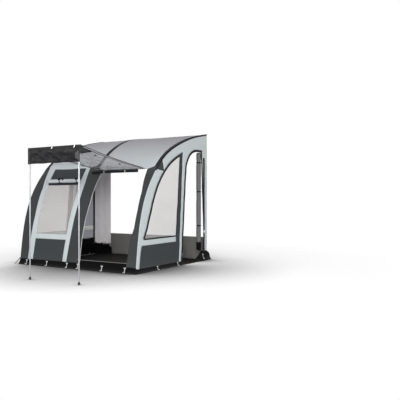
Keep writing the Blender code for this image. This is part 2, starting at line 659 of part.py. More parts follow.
def build_doors():
    """The right door is rolled against its rear jamb, the left one is closed; each has a zip slider."""
    panel = doorway(BINDING_WIDTH)
    front_foot, shoulder, rear_foot = Vector(panel[0]), Vector(panel[1]), Vector(panel[-1])
    split = front_foot.lerp(shoulder, (DOOR_SPLIT - front_foot.y) / (shoulder.y - front_foot.y))
    rear = Vector(panel[-2]).lerp(rear_foot, (panel[-2][1] - DOOR_SPLIT) / (panel[-2][1] - rear_foot.y))
    flat_piece("door_panel_left", LIGHT_CLOTH, [split] + panel[1:-1] + [rear], -1)
    foot = [front_foot, split, rear, rear_foot, (rear_foot.x, SIDE_SKIRT)]
    flat_piece("door_foot_left", BLACK_VINYL, foot, -1)
    roll_x = HALF_WIDTH - CLOTH - GAP - ROLL_RADIUS
    rod("rolled_door_right", PAD_CLOTH, (roll_x, RAIL_Y - ROLL_SETBACK, ROLL_BOTTOM),
        (roll_x, RAIL_Y - ROLL_SETBACK, ROLL_TOP), ROLL_RADIUS, bevel=ROLL_RADIUS / 4)
    for name, side in (("right", 1), ("left", -1)):
        start, end = Vector(doorway(BINDING_WIDTH / 2)[0]), Vector(doorway(BINDING_WIDTH / 2)[1])
        along = (end - start).normalized()
        square = Vector((-along.y, along.x))
        middle = start + along * (SLIDER_HEIGHT - start.y)
        outline = []
        for across, up in ((-PULL_WIDTH / 2, -PULL_LENGTH), (PULL_WIDTH / 2, -PULL_LENGTH),
                           (PULL_WIDTH / 2, -SLIDER_LENGTH / 2), (SLIDER_WIDTH / 2, -SLIDER_LENGTH / 2),
                           (SLIDER_WIDTH / 2, SLIDER_LENGTH / 4), (PULL_WIDTH / 2, SLIDER_LENGTH / 2),
                           (-PULL_WIDTH / 2, SLIDER_LENGTH / 2), (-SLIDER_WIDTH / 2, SLIDER_LENGTH / 4),
                           (-SLIDER_WIDTH / 2, -SLIDER_LENGTH / 2), (-PULL_WIDTH / 2, -SLIDER_LENGTH / 2)):
            outline.append(middle + square * across + along * up)
        slider = flat_piece(f"zip_slider_{name}", STEEL_TUBE, outline, side)
        slider.data.extrude = SLIDER_THICKNESS / 2
        slider.location.x = side * (HALF_WIDTH + GAP + SLIDER_THICKNESS / 2)
        run = pivot(f"zip_slider_{name}_run", (slider.location.x, middle.x, middle.y))
        carry(run, slider)


def flare(share):
    """How far a skirt spreads, from nothing at its top to the full flare at the ground."""
    return FLARE * (1 - share) ** 2


LAP = GAP + CLOTH       # the skirts lie outside the walls
SKIRT_LINES = (0.0, 0.33, 0.66, 1.0)


def build_mud_skirt():
    """One skirt round both sides and the front, lapped over the panels and mitred at its corners."""
    jamb_end = RAIL_Y - JAMB_FOOT + JAMB_WIDTH
    rear_end = RAIL_Y - FOOT_FRONT - GAP
    front = (-1.0, -0.5, 0.0, 0.5, 1.0)
    stations = [("side", -1, y) for y in (rear_end, jamb_end, 0.0)]
    stations += [("front", k, None) for k in front]
    stations += [("side", 1, y) for y in (0.0, jamb_end, jamb_end + HEM_STEP, rear_end)]
    tops = [SKIRT_SIDE_TOP] * 3 + [SKIRT_FRONT_TOP] * (len(front) - 1)
    tops += [SKIRT_CORNER_TOP] + [SKIRT_SIDE_TOP] * 2 + [HEM_TOP] * 2

    def place(k, share):
        kind, across, y = stations[k]
        height = CLOTH + (tops[k] - CLOTH) * share
        out = HALF_WIDTH + LAP + flare(share)
        if kind == "front":
            y = arch(rise_at(height), -LAP)[0] - flare(share)
        return Vector((across * out, y, height))

    columns = [lambda share, k=k: k for k in range(len(stations))]
    shell("mud_skirt", BLACK_VINYL, columns, SKIRT_LINES, place, UP_AND_OUT)


def build_rear_skirts():
    """Short skirts at the rear corners, which reach a little behind the rail."""
    for name, side in (("right", 1), ("left", -1)):
        def place(share_back, share, side=side):
            y = RAIL_Y - FOOT_FRONT + (FOOT_FRONT + FOOT_BACK) * share_back
            tall = FOOT_HEIGHT * float(np.interp(share_back, *zip(*FOOT_TOP_SHARES)))
            return Vector((side * (HALF_WIDTH + LAP + flare(share)), y, CLOTH + tall * share))

        columns = [lambda share, k=k: k for k, tall in FOOT_TOP_SHARES]
        shell(f"skirt_rear_{name}", BLACK_VINYL, columns, SKIRT_LINES, place, (side, 0.0, 0.0))


def build_floor():
    """Groundsheet, and the draught skirt that closes the rear below the vehicle's floor."""
    edge = HALF_WIDTH - CLOTH - GAP
    box("groundsheet", BLACK_VINYL, (-edge, FRONT_Y + SHEET_INSET, 0.0), (edge, RAIL_Y - CLOTH - GAP, CLOTH))
    inner = edge - PAD_WIDTH - GAP
    box("draught_skirt", PAD_CLOTH, (-inner, RAIL_Y - CLOTH, GAP), (inner, RAIL_Y, DRAUGHT_HEIGHT))


def build_rear():
    """Foam pads that press on the wall behind, telescopic poles that hold them, and a hanging flap."""
    outer = HALF_WIDTH - CLOTH - GAP
    for name, side in (("right", 1), ("left", -1)):
        near, far = sorted((side * outer, side * (outer - PAD_WIDTH)))
        box(f"rear_pad_{name}", PAD_CLOTH, (near, RAIL_Y - PAD_DEPTH, REAR_STRIP_FOOT),
            (far, RAIL_Y, PAD_TOP))
        x = side * (outer - PAD_WIDTH / 2)
        y = RAIL_Y - PAD_DEPTH - GAP - POLE_RADIUS
        turned(f"rear_pole_{name}", STEEL_TUBE, outer_tube(REAR_POLE_JOINT, REAR_POLE_TOP), (x, y, 0.0),
               closed=True)
        bore = POLE_RADIUS - POLE_WALL - POLE_CLEAR
        inner = rod(f"rear_pole_inner_{name}", STEEL_TUBE, (x, y, CLOTH + GAP),
                    (x, y, REAR_POLE_JOINT + POLE_OVERLAP), bore)
        slide = pivot(f"rear_pole_{name}_slide", (x, y, REAR_POLE_JOINT))
        carry(slide, inner)


def build_flap():
    """A loose flap that hangs across the left rear corner, from the wall to near the rail plane."""
    start = Vector((-HALF_WIDTH + 2 * CLOTH + GAP, RAIL_Y - FLAP_START_BACK, 0.0))
    end = Vector((FLAP_REACH - HALF_WIDTH, RAIL_Y - FLAP_END_BACK, 0.0))
    forward = Vector((end.y - start.y, start.x - end.x, 0.0)).normalized()

    def hang(share, z):
        low = (FLAP_TOP - z) / (FLAP_TOP - FLAP_BOTTOM)
        wave = 0.5 - 0.5 * math.cos(2 * math.pi * FLAP_FOLDS * share)
        point = start.lerp(end, share) + forward * FLAP_FOLD * wave * (1 + low) / 2
        return point + Vector((0.0, 0.0, z))

    count = int(FLAP_FOLDS * 6)
    columns = [lambda z, k=i / count: k for i in range(count + 1)]
    lines = [FLAP_BOTTOM + (FLAP_TOP - FLAP_BOTTOM) * i / 6 for i in range(7)]
    shell("rear_flap_left", LIGHT_CLOTH, columns, lines, hang, forward)


def outer_tube(bottom, top):
    """Profile of a thin tube."""
    bore = POLE_RADIUS - POLE_WALL
    return ((POLE_RADIUS, top), (POLE_RADIUS, bottom), (bore, bottom), (bore, top))


HINGE = skin(0.0, CANOPY_RISE, -CANOPY_STANDOFF)
BAR_Y = FRONT_Y - POLE_REACH
SLEEVE_RADIUS = BAR_RADIUS + GAP + CLOTH        # outer face of the valance's sleeve round the bar
COVER_RADIUS = SLEEVE_RADIUS + GAP + CLOTH      # outer face of the canopy's end, over that sleeve
CANOPY_LENGTH = HINGE.y - BAR_Y
COVER_WRAP = COVER_RADIUS * math.radians(COVER_TURN)
SLEEVE_WRAP = SLEEVE_RADIUS * (math.pi / 2 - math.radians(SLEEVE_START))


def canopy_place(share, out):
    """A point on the canopy: a share of its width, and a distance out from the eave, then over the bar."""
    part = min(out / CANOPY_LENGTH, 1.0)
    left = CANOPY_ROOT_LEFT + (CANOPY_END_LEFT - CANOPY_ROOT_LEFT) * part
    right = CANOPY_ROOT_RIGHT + (CANOPY_END_RIGHT - CANOPY_ROOT_RIGHT) * part
    x = left + (right - left) * share
    if out <= CANOPY_LENGTH:
        across = SAG_EDGE_SHARE + (1 - SAG_EDGE_SHARE) * math.sin(math.pi * share)
        sag = CANOPY_SAG * math.sin(math.pi * part) * across
        top = BAR_HEIGHT + COVER_RADIUS
        return Vector((x, HINGE.y + (BAR_Y - HINGE.y) * part, HINGE.z + (top - HINGE.z) * part - sag))
    angle = (out - CANOPY_LENGTH) / COVER_RADIUS
    return Vector((x, BAR_Y - COVER_RADIUS * math.sin(angle), BAR_HEIGHT + COVER_RADIUS * math.cos(angle)))


def valance_place(share, down):
    """A point on the valance: a share of its width, and a distance round the bar, then straight down."""
    x = CANOPY_END_LEFT + (CANOPY_END_RIGHT - CANOPY_END_LEFT) * share
    if down <= SLEEVE_WRAP:
        angle = math.radians(SLEEVE_START) + down / SLEEVE_RADIUS
        return Vector((x, BAR_Y - SLEEVE_RADIUS * math.sin(angle), BAR_HEIGHT + SLEEVE_RADIUS * math.cos(angle)))
    drop = down - SLEEVE_WRAP
    step = min(drop / BAR_RADIUS, 1.0)
    reach = SLEEVE_RADIUS + (VALANCE_REACH - SLEEVE_RADIUS) * step
    phase = FOLD_COUNT * share + DRIFT_COUNT * drop / VALANCE_DROP
    fold = FOLD_DEPTH * (0.5 - 0.5 * math.cos(2 * math.pi * phase)) * min(drop / (VALANCE_DROP / 2), 1.0)
    return Vector((x, BAR_Y - reach - fold, BAR_HEIGHT - drop))


def build_canopy():
    """The raised panel: light trim, clear window, dark end over the bar, and the valance that hangs there."""
    dark_start = CANOPY_LENGTH - CANOPY_DARK
    root_width = CANOPY_ROOT_RIGHT - CANOPY_ROOT_LEFT
    trim_share = CANOPY_TRIM / root_width
    gap_share = GAP / root_width
    shares = [0.0, trim_share] + [trim_share + (1 - 2 * trim_share) * i / 4 for i in (1, 2, 3)]
    shares += [1 - trim_share, 1.0]
    outs = [0.0, CANOPY_HEAD] + [CANOPY_HEAD + (dark_start - CANOPY_HEAD) * i / 7 for i in range(1, 7)]
    outs += [dark_start - HALF_GAP]
    up = (0.0, 0.0, 1.0)
    trim = shell("canopy_trim", LIGHT_CLOTH, [lambda s, k=k: k for k in shares], outs, canopy_place, up,
                 leave_out=lambda i, j: 0 < i < len(shares) - 2 and j > 0)
    inner = [trim_share + gap_share] + shares[2:-2] + [1 - trim_share - gap_share]
    film = shell("canopy_window", CLEAR_FILM, [lambda s, k=k: k for k in inner],
                 [CANOPY_HEAD + GAP] + outs[2:], canopy_place, up)
    lines = [dark_start + HALF_GAP, dark_start + CANOPY_DARK / 2, CANOPY_LENGTH]
    lines += [CANOPY_LENGTH + COVER_WRAP * i / 3 for i in (1, 2, 3)]
    end = shell("canopy_end", DARK_CLOTH, [lambda s, k=i / 6: k for i in range(7)], lines, canopy_place,
                UP_AND_OUT)
    folds = int(FOLD_COUNT * 6)
    lines = [SLEEVE_WRAP * i / 6 for i in range(7)] + [SLEEVE_WRAP + BAR_RADIUS]
    lines += [SLEEVE_WRAP + VALANCE_DROP * i / 6 for i in range(1, 7)]
    valance = shell("canopy_valance", DARK_CLOTH, [lambda s, k=i / folds: k for i in range(folds + 1)], lines,
                    valance_place, UP_AND_OUT)
    bar = rod("canopy_bar", STEEL_TUBE, (CANOPY_END_LEFT, BAR_Y, BAR_HEIGHT),
              (CANOPY_END_RIGHT, BAR_Y, BAR_HEIGHT), BAR_RADIUS, steps=16)
    tilt = pivot("canopy_tilt", HINGE)
    carry(tilt, trim, film, end, bar)
    swing = pivot("valance_swing", (HINGE.x, BAR_Y, BAR_HEIGHT))
    carry(swing, valance)


def build_poles():
    """Each pole: an outer tube under the bar, an inner tube that slides in it, and a rubber foot."""
    for name, x in (("left", POLE_LEFT), ("right", POLE_RIGHT)):
        top = BAR_HEIGHT - BAR_RADIUS - POLE_SEAT
        outer = turned(f"pole_outer_{name}", STEEL_TUBE, outer_tube(POLE_JOINT, top), (x, BAR_Y, 0.0),
                       closed=True)
        swing = pivot(f"pole_{name}_swing", (x, BAR_Y, BAR_HEIGHT))
        carry(swing, outer)
        bore = POLE_RADIUS - POLE_WALL - POLE_CLEAR
        inner = rod(f"pole_inner_{name}", STEEL_TUBE, (x, BAR_Y, FOOT_LENGTH / 2 + GAP),
                    (x, BAR_Y, POLE_JOINT + POLE_OVERLAP), bore)
        collar = POLE_RADIUS
        profile = ((0.0, FOOT_LENGTH / 2), (bore + GAP, FOOT_LENGTH / 2), (bore + GAP, FOOT_LENGTH),
                   (collar, FOOT_LENGTH), (FOOT_RADIUS, FOOT_LENGTH / 2), (FOOT_RADIUS, FOOT_LENGTH / 4),
                   (collar, 0.0), (0.0, 0.0))
        foot = turned(f"pole_foot_{name}", BLACK_RUBBER, profile, (x, BAR_Y, 0.0))
        slide = pivot(f"pole_{name}_slide", (x, BAR_Y, POLE_JOINT))
        carry(slide, inner, foot)


build_beams()
build_covers()
build_roof()
build_left_bay()
build_right_bay()
build_side("right", 1)
build_side("left", -1)
build_doors()
build_mud_skirt()
build_rear_skirts()
build_floor()
build_rear()
build_flap()
build_canopy()
build_poles()
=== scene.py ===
# %% [markdown]
# # Dressing a porch awning that stands on air beams
# A porch awning is a tent with no rear wall. Three inflated beams bow forward from its upper rear edge to
# the ground, and sewn cloth is stretched over them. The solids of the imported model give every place
# and size, so this notebook only adds what they leave out: woven cloth with its seams and stitching, clear
# film, rolls, folds, webbing and metal. All of it is in metres, with Z up.

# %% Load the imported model
import json
import math

import bmesh
import bpy
import numpy as np
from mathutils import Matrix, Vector
from mathutils.geometry import delaunay_2d_cdt


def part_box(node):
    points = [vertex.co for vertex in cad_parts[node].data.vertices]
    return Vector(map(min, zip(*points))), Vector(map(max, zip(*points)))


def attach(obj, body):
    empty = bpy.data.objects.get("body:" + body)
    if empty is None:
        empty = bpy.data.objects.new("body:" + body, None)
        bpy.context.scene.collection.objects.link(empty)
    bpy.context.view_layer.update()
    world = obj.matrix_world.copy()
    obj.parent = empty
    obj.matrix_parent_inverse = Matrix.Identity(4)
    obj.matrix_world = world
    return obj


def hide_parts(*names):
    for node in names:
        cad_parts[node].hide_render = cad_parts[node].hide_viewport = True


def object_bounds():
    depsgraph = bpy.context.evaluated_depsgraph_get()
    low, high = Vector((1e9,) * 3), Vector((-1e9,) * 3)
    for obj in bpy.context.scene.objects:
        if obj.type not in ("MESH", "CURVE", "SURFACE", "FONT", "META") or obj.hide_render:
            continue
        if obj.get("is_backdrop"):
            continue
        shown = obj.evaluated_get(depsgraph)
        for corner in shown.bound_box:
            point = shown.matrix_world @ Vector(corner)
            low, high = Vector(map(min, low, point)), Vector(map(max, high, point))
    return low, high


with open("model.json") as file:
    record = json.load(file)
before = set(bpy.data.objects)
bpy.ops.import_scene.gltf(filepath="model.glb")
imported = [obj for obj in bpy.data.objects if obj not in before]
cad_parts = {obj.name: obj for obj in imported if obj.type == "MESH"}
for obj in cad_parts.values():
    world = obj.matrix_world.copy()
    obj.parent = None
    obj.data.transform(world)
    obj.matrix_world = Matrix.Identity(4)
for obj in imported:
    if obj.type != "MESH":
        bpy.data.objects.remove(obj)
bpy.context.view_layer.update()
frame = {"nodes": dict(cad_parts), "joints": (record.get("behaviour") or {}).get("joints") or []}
nodes = frame["nodes"]
scene = bpy.context.scene

# %% [markdown]
# ## Camera
# The picture was taken at chest height, a little to the right of the awning. A camera without shift keeps
# uprights parallel, so it looks level, and the long lens comes from the picture's own perspective.

# %% Place the camera
CAMERA_PLACE = (6.074, -7.396, 1.155)
CAMERA_TURN = math.radians(30.011)
CAMERA_LENS, SENSOR_WIDTH = 45.45, 36.0

camera = bpy.data.objects.new("camera", bpy.data.cameras.new("camera"))
camera.data.lens = CAMERA_LENS
camera.data.sensor_width = SENSOR_WIDTH
camera.location = CAMERA_PLACE
camera.rotation_euler = (math.pi / 2, 0.0, CAMERA_TURN)
scene.collection.objects.link(camera)
scene.camera = camera
scene.view_settings.view_transform = "Standard"
print("camera", CAMERA_LENS, "mm")

# %% [markdown]
# ## Shader helpers
# Materials are built from nodes in code. Small helpers keep that readable: they add a node with its inputs,
# do a sum, move a value to another range, or mix two colours or two shaders. The last one starts a node
# group, which is a reusable effect with named sockets.


# %% Helpers for node trees
def fill(tree, node, inputs):
    """Set or link a node's inputs; an underscore stands for a blank, and a node for its first output."""
    for key, value in inputs.items():
        socket = node.inputs[key.replace("_", " ") if isinstance(key, str) else key]
        if isinstance(value, bpy.types.Node):
            value = value.outputs[0]
        if isinstance(value, bpy.types.NodeSocket):
            tree.links.new(value, socket)
        else:
            socket.default_value = value
    return node


def add(tree, kind, settings=None, **inputs):
    """A node with its settings and inputs; shader nodes are named without their prefix."""
    node = tree.nodes.new(kind if kind.startswith(("Geometry", "Function")) else "ShaderNode" + kind)
    for key, value in (settings or {}).items():
        setattr(node, key, value)
    return fill(tree, node, inputs)


def sum_of(tree, operation, first, second=0.0, third=0.0, clamp=False):
    """One Math node's result."""
    node = add(tree, "Math", {"operation": operation, "use_clamp": clamp})
    return fill(tree, node, {0: first, 1: second, 2: third}).outputs[0]


def ranged(tree, value, old, new, settings=None):
    """A value moved from one range to another."""
    return add(tree, "MapRange", settings, Value=value, From_Min=old[0], From_Max=old[1], To_Min=new[0], To_Max=new[1])


def grey(tree, value):
    return add(tree, "CombineColor", Red=value, Green=value, Blue=value)


def mixed(tree, share, first, second, blend="MIX"):
    """Two colours, mixed or multiplied."""
    node = add(tree, "Mix", {"data_type": "RGBA", "blend_type": blend}, Factor=share)
    return fill(tree, node, {6: first, 7: second}).outputs[2]


def either(tree, share, first, second):
    """Two shaders, mixed."""
    return fill(tree, add(tree, "MixShader", Fac=share), {1: first, 2: second})


def group_of(name, inputs, outputs, family="Shader", result="Float"):
    """An empty node group: inputs have a label, a kind and a value, and outputs are of one kind."""
    group = bpy.data.node_groups.new(name, family + "NodeTree")
    for label, kind, value in inputs:
        socket = group.interface.new_socket(name=label, in_out="INPUT", socket_type="NodeSocket" + kind)
        if value is not None:
            socket.default_value = value
    for label in outputs:
        group.interface.new_socket(name=label, in_out="OUTPUT", socket_type="NodeSocket" + result)
    return group, group.nodes.new("NodeGroupInput").outputs, group.nodes.new("NodeGroupOutput")

# %% [markdown]
# ## Studio
# A white floor and a soft, even sky are all that a catalogue picture has. The sky is brighter near the
# horizon than overhead, as between the white walls of a studio, so upright cloth looks lighter than the
# roof. Only rays from the camera and reflections see the plain white, through a Light Path node.

# %% Sky and lamp
WHITE = (1.0, 1.0, 1.0, 1.0)
SKY_LOW, SKY_HIGH = 1.08, 0.10
LAMP_PLACE, LAMP_AIM = Vector((5.1, -7.9, 2.9)), Vector((0.2, 0.0, 1.2))
LAMP_WIDTH, LAMP_HEIGHT, LAMP_POWER = 5.0, 2.4, 490.0

scene.world = bpy.data.worlds.new("studio")
scene.world.use_nodes = True
tree = scene.world.node_tree
tree.nodes.clear()
upward = add(tree, "SeparateXYZ", Vector=add(tree, "TexCoord").outputs["Generated"]).outputs["Z"]
rays = add(tree, "LightPath").outputs
seen = sum_of(tree, "MAXIMUM", rays["Is Camera Ray"], rays["Is Glossy Ray"])
seen = sum_of(tree, "MAXIMUM", seen, rays["Is Transmission Ray"])
soft = add(tree, "Background", Color=WHITE, Strength=ranged(tree, upward, (0.05, 0.9), (SKY_LOW, SKY_HIGH)))
plain = add(tree, "Background", Color=WHITE, Strength=1.0)
add(tree, "OutputWorld", Surface=either(tree, seen, soft, plain))

lamp = bpy.data.objects.new("soft_box", bpy.data.lights.new("soft_box", "AREA"))
lamp.data.shape = "RECTANGLE"
lamp.data.size, lamp.data.size_y, lamp.data.energy = LAMP_WIDTH, LAMP_HEIGHT, LAMP_POWER
lamp.location = LAMP_PLACE
lamp.rotation_euler = (LAMP_AIM - LAMP_PLACE).to_track_quat("-Z", "Y").to_euler()
scene.collection.objects.link(lamp)

print("lamp", LAMP_POWER, "W")

# %% [markdown]
# The floor is pale paper that turns into plain white further out, so it shows no edge. An Ambient Occlusion
# node draws a soft contact shadow where the awning stands, weaker on its left. Only the camera sees that
# shadow and its glow: all other rays meet evenly pale paper, so the light that bounces up stays even.

# %% Lay the floor
FLOOR_REACH, FLOOR_PALENESS = 60.0, (0.80, 0.80, 0.81, 1.0)
FLOOR_SEEN, FLOOR_GLOW, GLOW_SHARE = 1.3, 1.12, 0.65
CONTACT_REACH = 2.2
FALL_LEFT, FALL_RIGHT = 0.5, 3.0

bpy.ops.mesh.primitive_circle_add(vertices=64, radius=FLOOR_REACH, fill_type="NGON", location=(0.0, 0.0, -0.0005))
floor = bpy.context.object
floor.name = "floor"
floor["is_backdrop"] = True
paper = bpy.data.materials.new("white_floor")
paper.use_nodes = True
tree = paper.node_tree
tree.nodes.clear()
rays = add(tree, "LightPath").outputs
place = add(tree, "TexCoord").outputs["Object"]
contact = add(tree, "AmbientOcclusion", {"samples": 16}, Distance=CONTACT_REACH).outputs["AO"]
fall = ranged(tree, add(tree, "SeparateXYZ", Vector=place), (-1.9, -0.9), (FALL_LEFT, FALL_RIGHT))
shade = sum_of(tree, "POWER", contact, fall)
glow = add(tree, "Emission", Color=grey(tree, shade), Strength=FLOOR_GLOW)
shadowed = add(tree, "BsdfDiffuse", Color=grey(tree, sum_of(tree, "MULTIPLY", shade, FLOOR_SEEN)))
lit = add(tree, "BsdfDiffuse", Color=FLOOR_PALENESS)
matte = either(tree, rays["Is Camera Ray"], lit, either(tree, GLOW_SHARE, shadowed, glow))
bright = add(tree, "Emission", Color=WHITE, Strength=1.0)
centred = add(tree, "Mapping", Vector=place, Scale=(0.17, 0.17, 0.0))
distance = add(tree, "VectorMath", {"operation": "LENGTH"}, Vector=centred).outputs["Value"]
far = ranged(tree, distance, (0.35, 1.0), (0.0, 1.0), {"interpolation_type": "SMOOTHSTEP"})
seen = sum_of(tree, "MAXIMUM", rays["Is Camera Ray"], rays["Is Transmission Ray"])
add(tree, "OutputMaterial", Surface=either(tree, sum_of(tree, "MULTIPLY", far, seen), matte, bright))
floor.data.materials.append(paper)
print("studio ready")

# %% [markdown]
# ## What cloth looks like close up
# Coated polyester is a plain weave of threads a little over half a millimetre wide. The height of a weave is
# the product of two sine waves, one along each thread direction, which costs a few Math nodes and needs no
# picture. It reads the panel's own UV map, which this notebook lays out in metres along the cloth, so the
# threads follow the panel round the arch. A second group adds what happens to cloth outdoors: patches that
# bleached a little, and dust that splashed up from the ground. A third one draws fine creases.

# %% The weave, weather and crease groups
weave, given, end = group_of("woven_threads", [("Vector", "Vector", None), ("Thread", "Float", 0.0005)],
                             ["Height", "Tint"])
axes = add(weave, "SeparateXYZ", Vector=given["Vector"]).outputs
rate = sum_of(weave, "DIVIDE", math.pi, given["Thread"])
warp, weft = (sum_of(weave, "SINE", sum_of(weave, "MULTIPLY", axes[axis], rate)) for axis in "XY")
crossing = sum_of(weave, "MULTIPLY", warp, weft)
# The tint darkens the cloth a little where the threads dip: painted shade in the weave's hollows.
fill(weave, end, {"Height": sum_of(weave, "MULTIPLY_ADD", crossing, 0.5, 0.5),
                  "Tint": sum_of(weave, "MULTIPLY_ADD", crossing, 0.06, 1.0)})

weather, given, end = group_of("weathering", [
    ("Vector", "Vector", None), ("Scale", "Float", 1.0), ("Amount", "Float", 0.1), ("Dust Height", "Float", 0.3)],
    ["Tint", "Dust", "Roughness"])
patches = add(weather, "TexNoise", Vector=given["Vector"], Scale=given["Scale"], Detail=4.0, Roughness=0.6)
middle = sum_of(weather, "SUBTRACT", patches, 0.5)
height = add(weather, "SeparateXYZ", Vector=given["Vector"]).outputs["Z"]
low = sum_of(weather, "SUBTRACT", 1.0, sum_of(weather, "DIVIDE", height, given["Dust Height"]), clamp=True)
speckle = add(weather, "TexNoise", Vector=given["Vector"], Scale=26.0, Detail=6.0, Roughness=0.7)
fill(weather, end, {"Tint": sum_of(weather, "MULTIPLY_ADD", middle, given["Amount"], 1.0), "Roughness": middle,
                    "Dust": sum_of(weather, "MULTIPLY", sum_of(weather, "POWER", low, 2.0), speckle)})

creases, given, end = group_of("fine_creases", [("Vector", "Vector", None), ("Scale", "Float", 4.0)], ["Height"])
bent = add(creases, "TexNoise", Vector=given["Vector"], Scale=given["Scale"], Detail=3.0)
ridge = sum_of(creases, "ABSOLUTE", sum_of(creases, "SUBTRACT", bent, 0.5))
fill(creases, end, {"Height": sum_of(creases, "SUBTRACT", 1.0, sum_of(creases, "MULTIPLY", ridge, 7.0), clamp=True)})
print("groups:", [group.name for group in bpy.data.node_groups])

# %% [markdown]
# ## Cloth
# One function makes every cloth: its colour is multiplied by the weave and the weather, the roughness wanders a little,
# and two Bump nodes stack the fine weave on soft creases.

# %% Make the cloths
DUST_COLOUR = (0.30, 0.28, 0.25, 1.0)
TOP_OF_ROOF = (1.9, 2.9)


def shaded(name, record_slot, **constants):
    """A new material, its tree, its shader with a few constants, and the object's own coordinates."""
    material = bpy.data.materials.new(name)
    material.use_nodes = True
    tree = material.node_tree
    shader = fill(tree, tree.nodes["Principled BSDF"], constants)
    return material, tree, shader, add(tree, "TexCoord").outputs["Object"]


def cloth(name, record_slot, colour, roughness, thread=0.0006, relief=0.00012, crease=0.0008, dusty=0.35, gloss=0.25,
          top_shade=None):
    """A woven, coated cloth. A second colour, where given, is blended in towards the top of the roof: painted shade for
    the less lit crest.
    """
    material, tree, shader, place = shaded(name, record_slot, Specular_IOR_Level=gloss)
    laid = add(tree, "UVMap", {"uv_map": "cloth"})
    threads = add(tree, "Group", {"node_tree": weave}, Vector=laid, Thread=thread).outputs
    worn = add(tree, "Group", {"node_tree": weather}, Vector=place, Scale=2.6, Amount=0.10, Dust_Height=dusty).outputs
    folds = add(tree, "Group", {"node_tree": creases}, Vector=place, Scale=3.4)
    base = (*colour, 1.0)
    if top_shade:
        up_the_cloth = add(tree, "SeparateXYZ", Vector=laid).outputs["Y"]
        base = mixed(tree, ranged(tree, up_the_cloth, TOP_OF_ROOF, (0.0, 1.0)), base, (*top_shade, 1.0))
    # The weave's part of this tone is painted shade in its hollows; the weather's part is bleached patches.
    tone = sum_of(tree, "MULTIPLY", threads["Tint"], worn["Tint"])
    tinted = mixed(tree, 1.0, base, grey(tree, tone), "MULTIPLY")
    soft_bump = add(tree, "Bump", Height=folds, Distance=crease, Strength=0.35)
    fill(tree, shader, {
        "Base Color": mixed(tree, sum_of(tree, "MULTIPLY", worn["Dust"], 0.16), tinted, DUST_COLOUR),
        "Roughness": sum_of(tree, "MULTIPLY_ADD", worn["Roughness"], 0.25, roughness),
        "Normal": add(tree, "Bump", Height=threads["Height"], Distance=relief, Strength=0.6, Normal=soft_bump)})
    return material


# The roof cloth turns darker towards its crest: painted shade for the top of the roof, which gets less light.
ROOF_CLOTH = cloth("roof_cloth", "roof_cloth", (0.56, 0.605, 0.625), 0.6, top_shade=(0.43, 0.415, 0.455))
LIGHT_CLOTH = cloth("light_cloth", "light_cloth", (0.61, 0.665, 0.675), 0.62)
DARK_CLOTH = cloth("dark_cloth", "dark_cloth", (0.042, 0.049, 0.052), 0.66, crease=0.0005)
BAND_CLOTH = cloth("band_cloth", "tape_cloth", (0.040, 0.044, 0.046), 0.66)
TAPE_CLOTH = cloth("tape_cloth", "tape_cloth", (0.014, 0.014, 0.017), 0.6, gloss=0.15)
VALANCE_CLOTH = cloth("valance_cloth", "dark_cloth", (0.0095, 0.009, 0.0105), 0.38, crease=0.010, gloss=0.27)
UPPER_CLOTH = cloth("upper_cloth", "dark_cloth", (0.028, 0.034, 0.041), 0.66, crease=0.0005)
BLACK_VINYL = cloth("black_vinyl", "black_vinyl", (0.0035, 0.0035, 0.004), 0.5, relief=0.00005, gloss=0.06, dusty=0.06)
FLOOR_VINYL = cloth("floor_vinyl", "black_vinyl", (0.004, 0.004, 0.0045), 0.65, relief=0.00005, gloss=0.03, dusty=0.03)
DOOR_CLOTH = cloth("door_cloth", "light_cloth", (0.54, 0.545, 0.60), 0.62, crease=0.002)
# The pale cloth is the light cloth made lighter. On the left door's bar and the canopy's trim, which lie in shade, that
# extra lightness is painted light.
PALE_CLOTH = cloth("pale_cloth", "light_cloth", (0.90, 0.90, 0.91), 0.62)
# The flap's light cloth is made lighter still, to make up for the dim light inside: partly painted light.
FLAP_CLOTH = cloth("flap_cloth", "light_cloth", (0.90, 0.87, 0.885), 0.62, crease=0.0015)
GREY_CLOTH = cloth("grey_cloth", "pad_cloth", (0.16, 0.157, 0.155), 0.7)
# The draught skirt's grey is made lighter than the other grey cloth, to make up for the dim light inside: partly
# painted light.
DRAUGHT_CLOTH = cloth("draught_cloth", "pad_cloth", (0.22, 0.215, 0.205), 0.7, dusty=0.2)
PAD_CLOTH = cloth("pad_cloth", "pad_cloth", (0.12, 0.12, 0.125), 0.75, thread=0.0009, relief=0.0003, crease=0.002)
MESH_CLOTH = cloth("mesh_cloth", "black_vinyl", (0.009, 0.009, 0.010), 0.6, thread=0.0015, relief=0.0006)
WEBBING = cloth("webbing", "light_cloth", (0.50, 0.50, 0.49), 0.6, thread=0.0016, relief=0.0006, dusty=0.05)
BLACK_WEBBING = cloth("black_webbing", "tape_cloth", (0.012, 0.012, 0.013), 0.55, thread=0.0016, relief=0.0006,
                      gloss=0.15)
SLEEVE = cloth("beam_sleeve", "beam_sleeve", (0.05, 0.05, 0.055), 0.6, thread=0.0009, relief=0.0003)
ZIP_TAPE = cloth("zip_tape", "light_cloth", (0.62, 0.62, 0.61), 0.6, thread=0.0009)

# %% [markdown]
# ## Film
# Clear film has no threads. It is mostly see-through, and a Layer Weight makes it denser where it is seen
# edge on, as real film is. Plain transparency suits it better than glass, which bends light as a thick pane does.


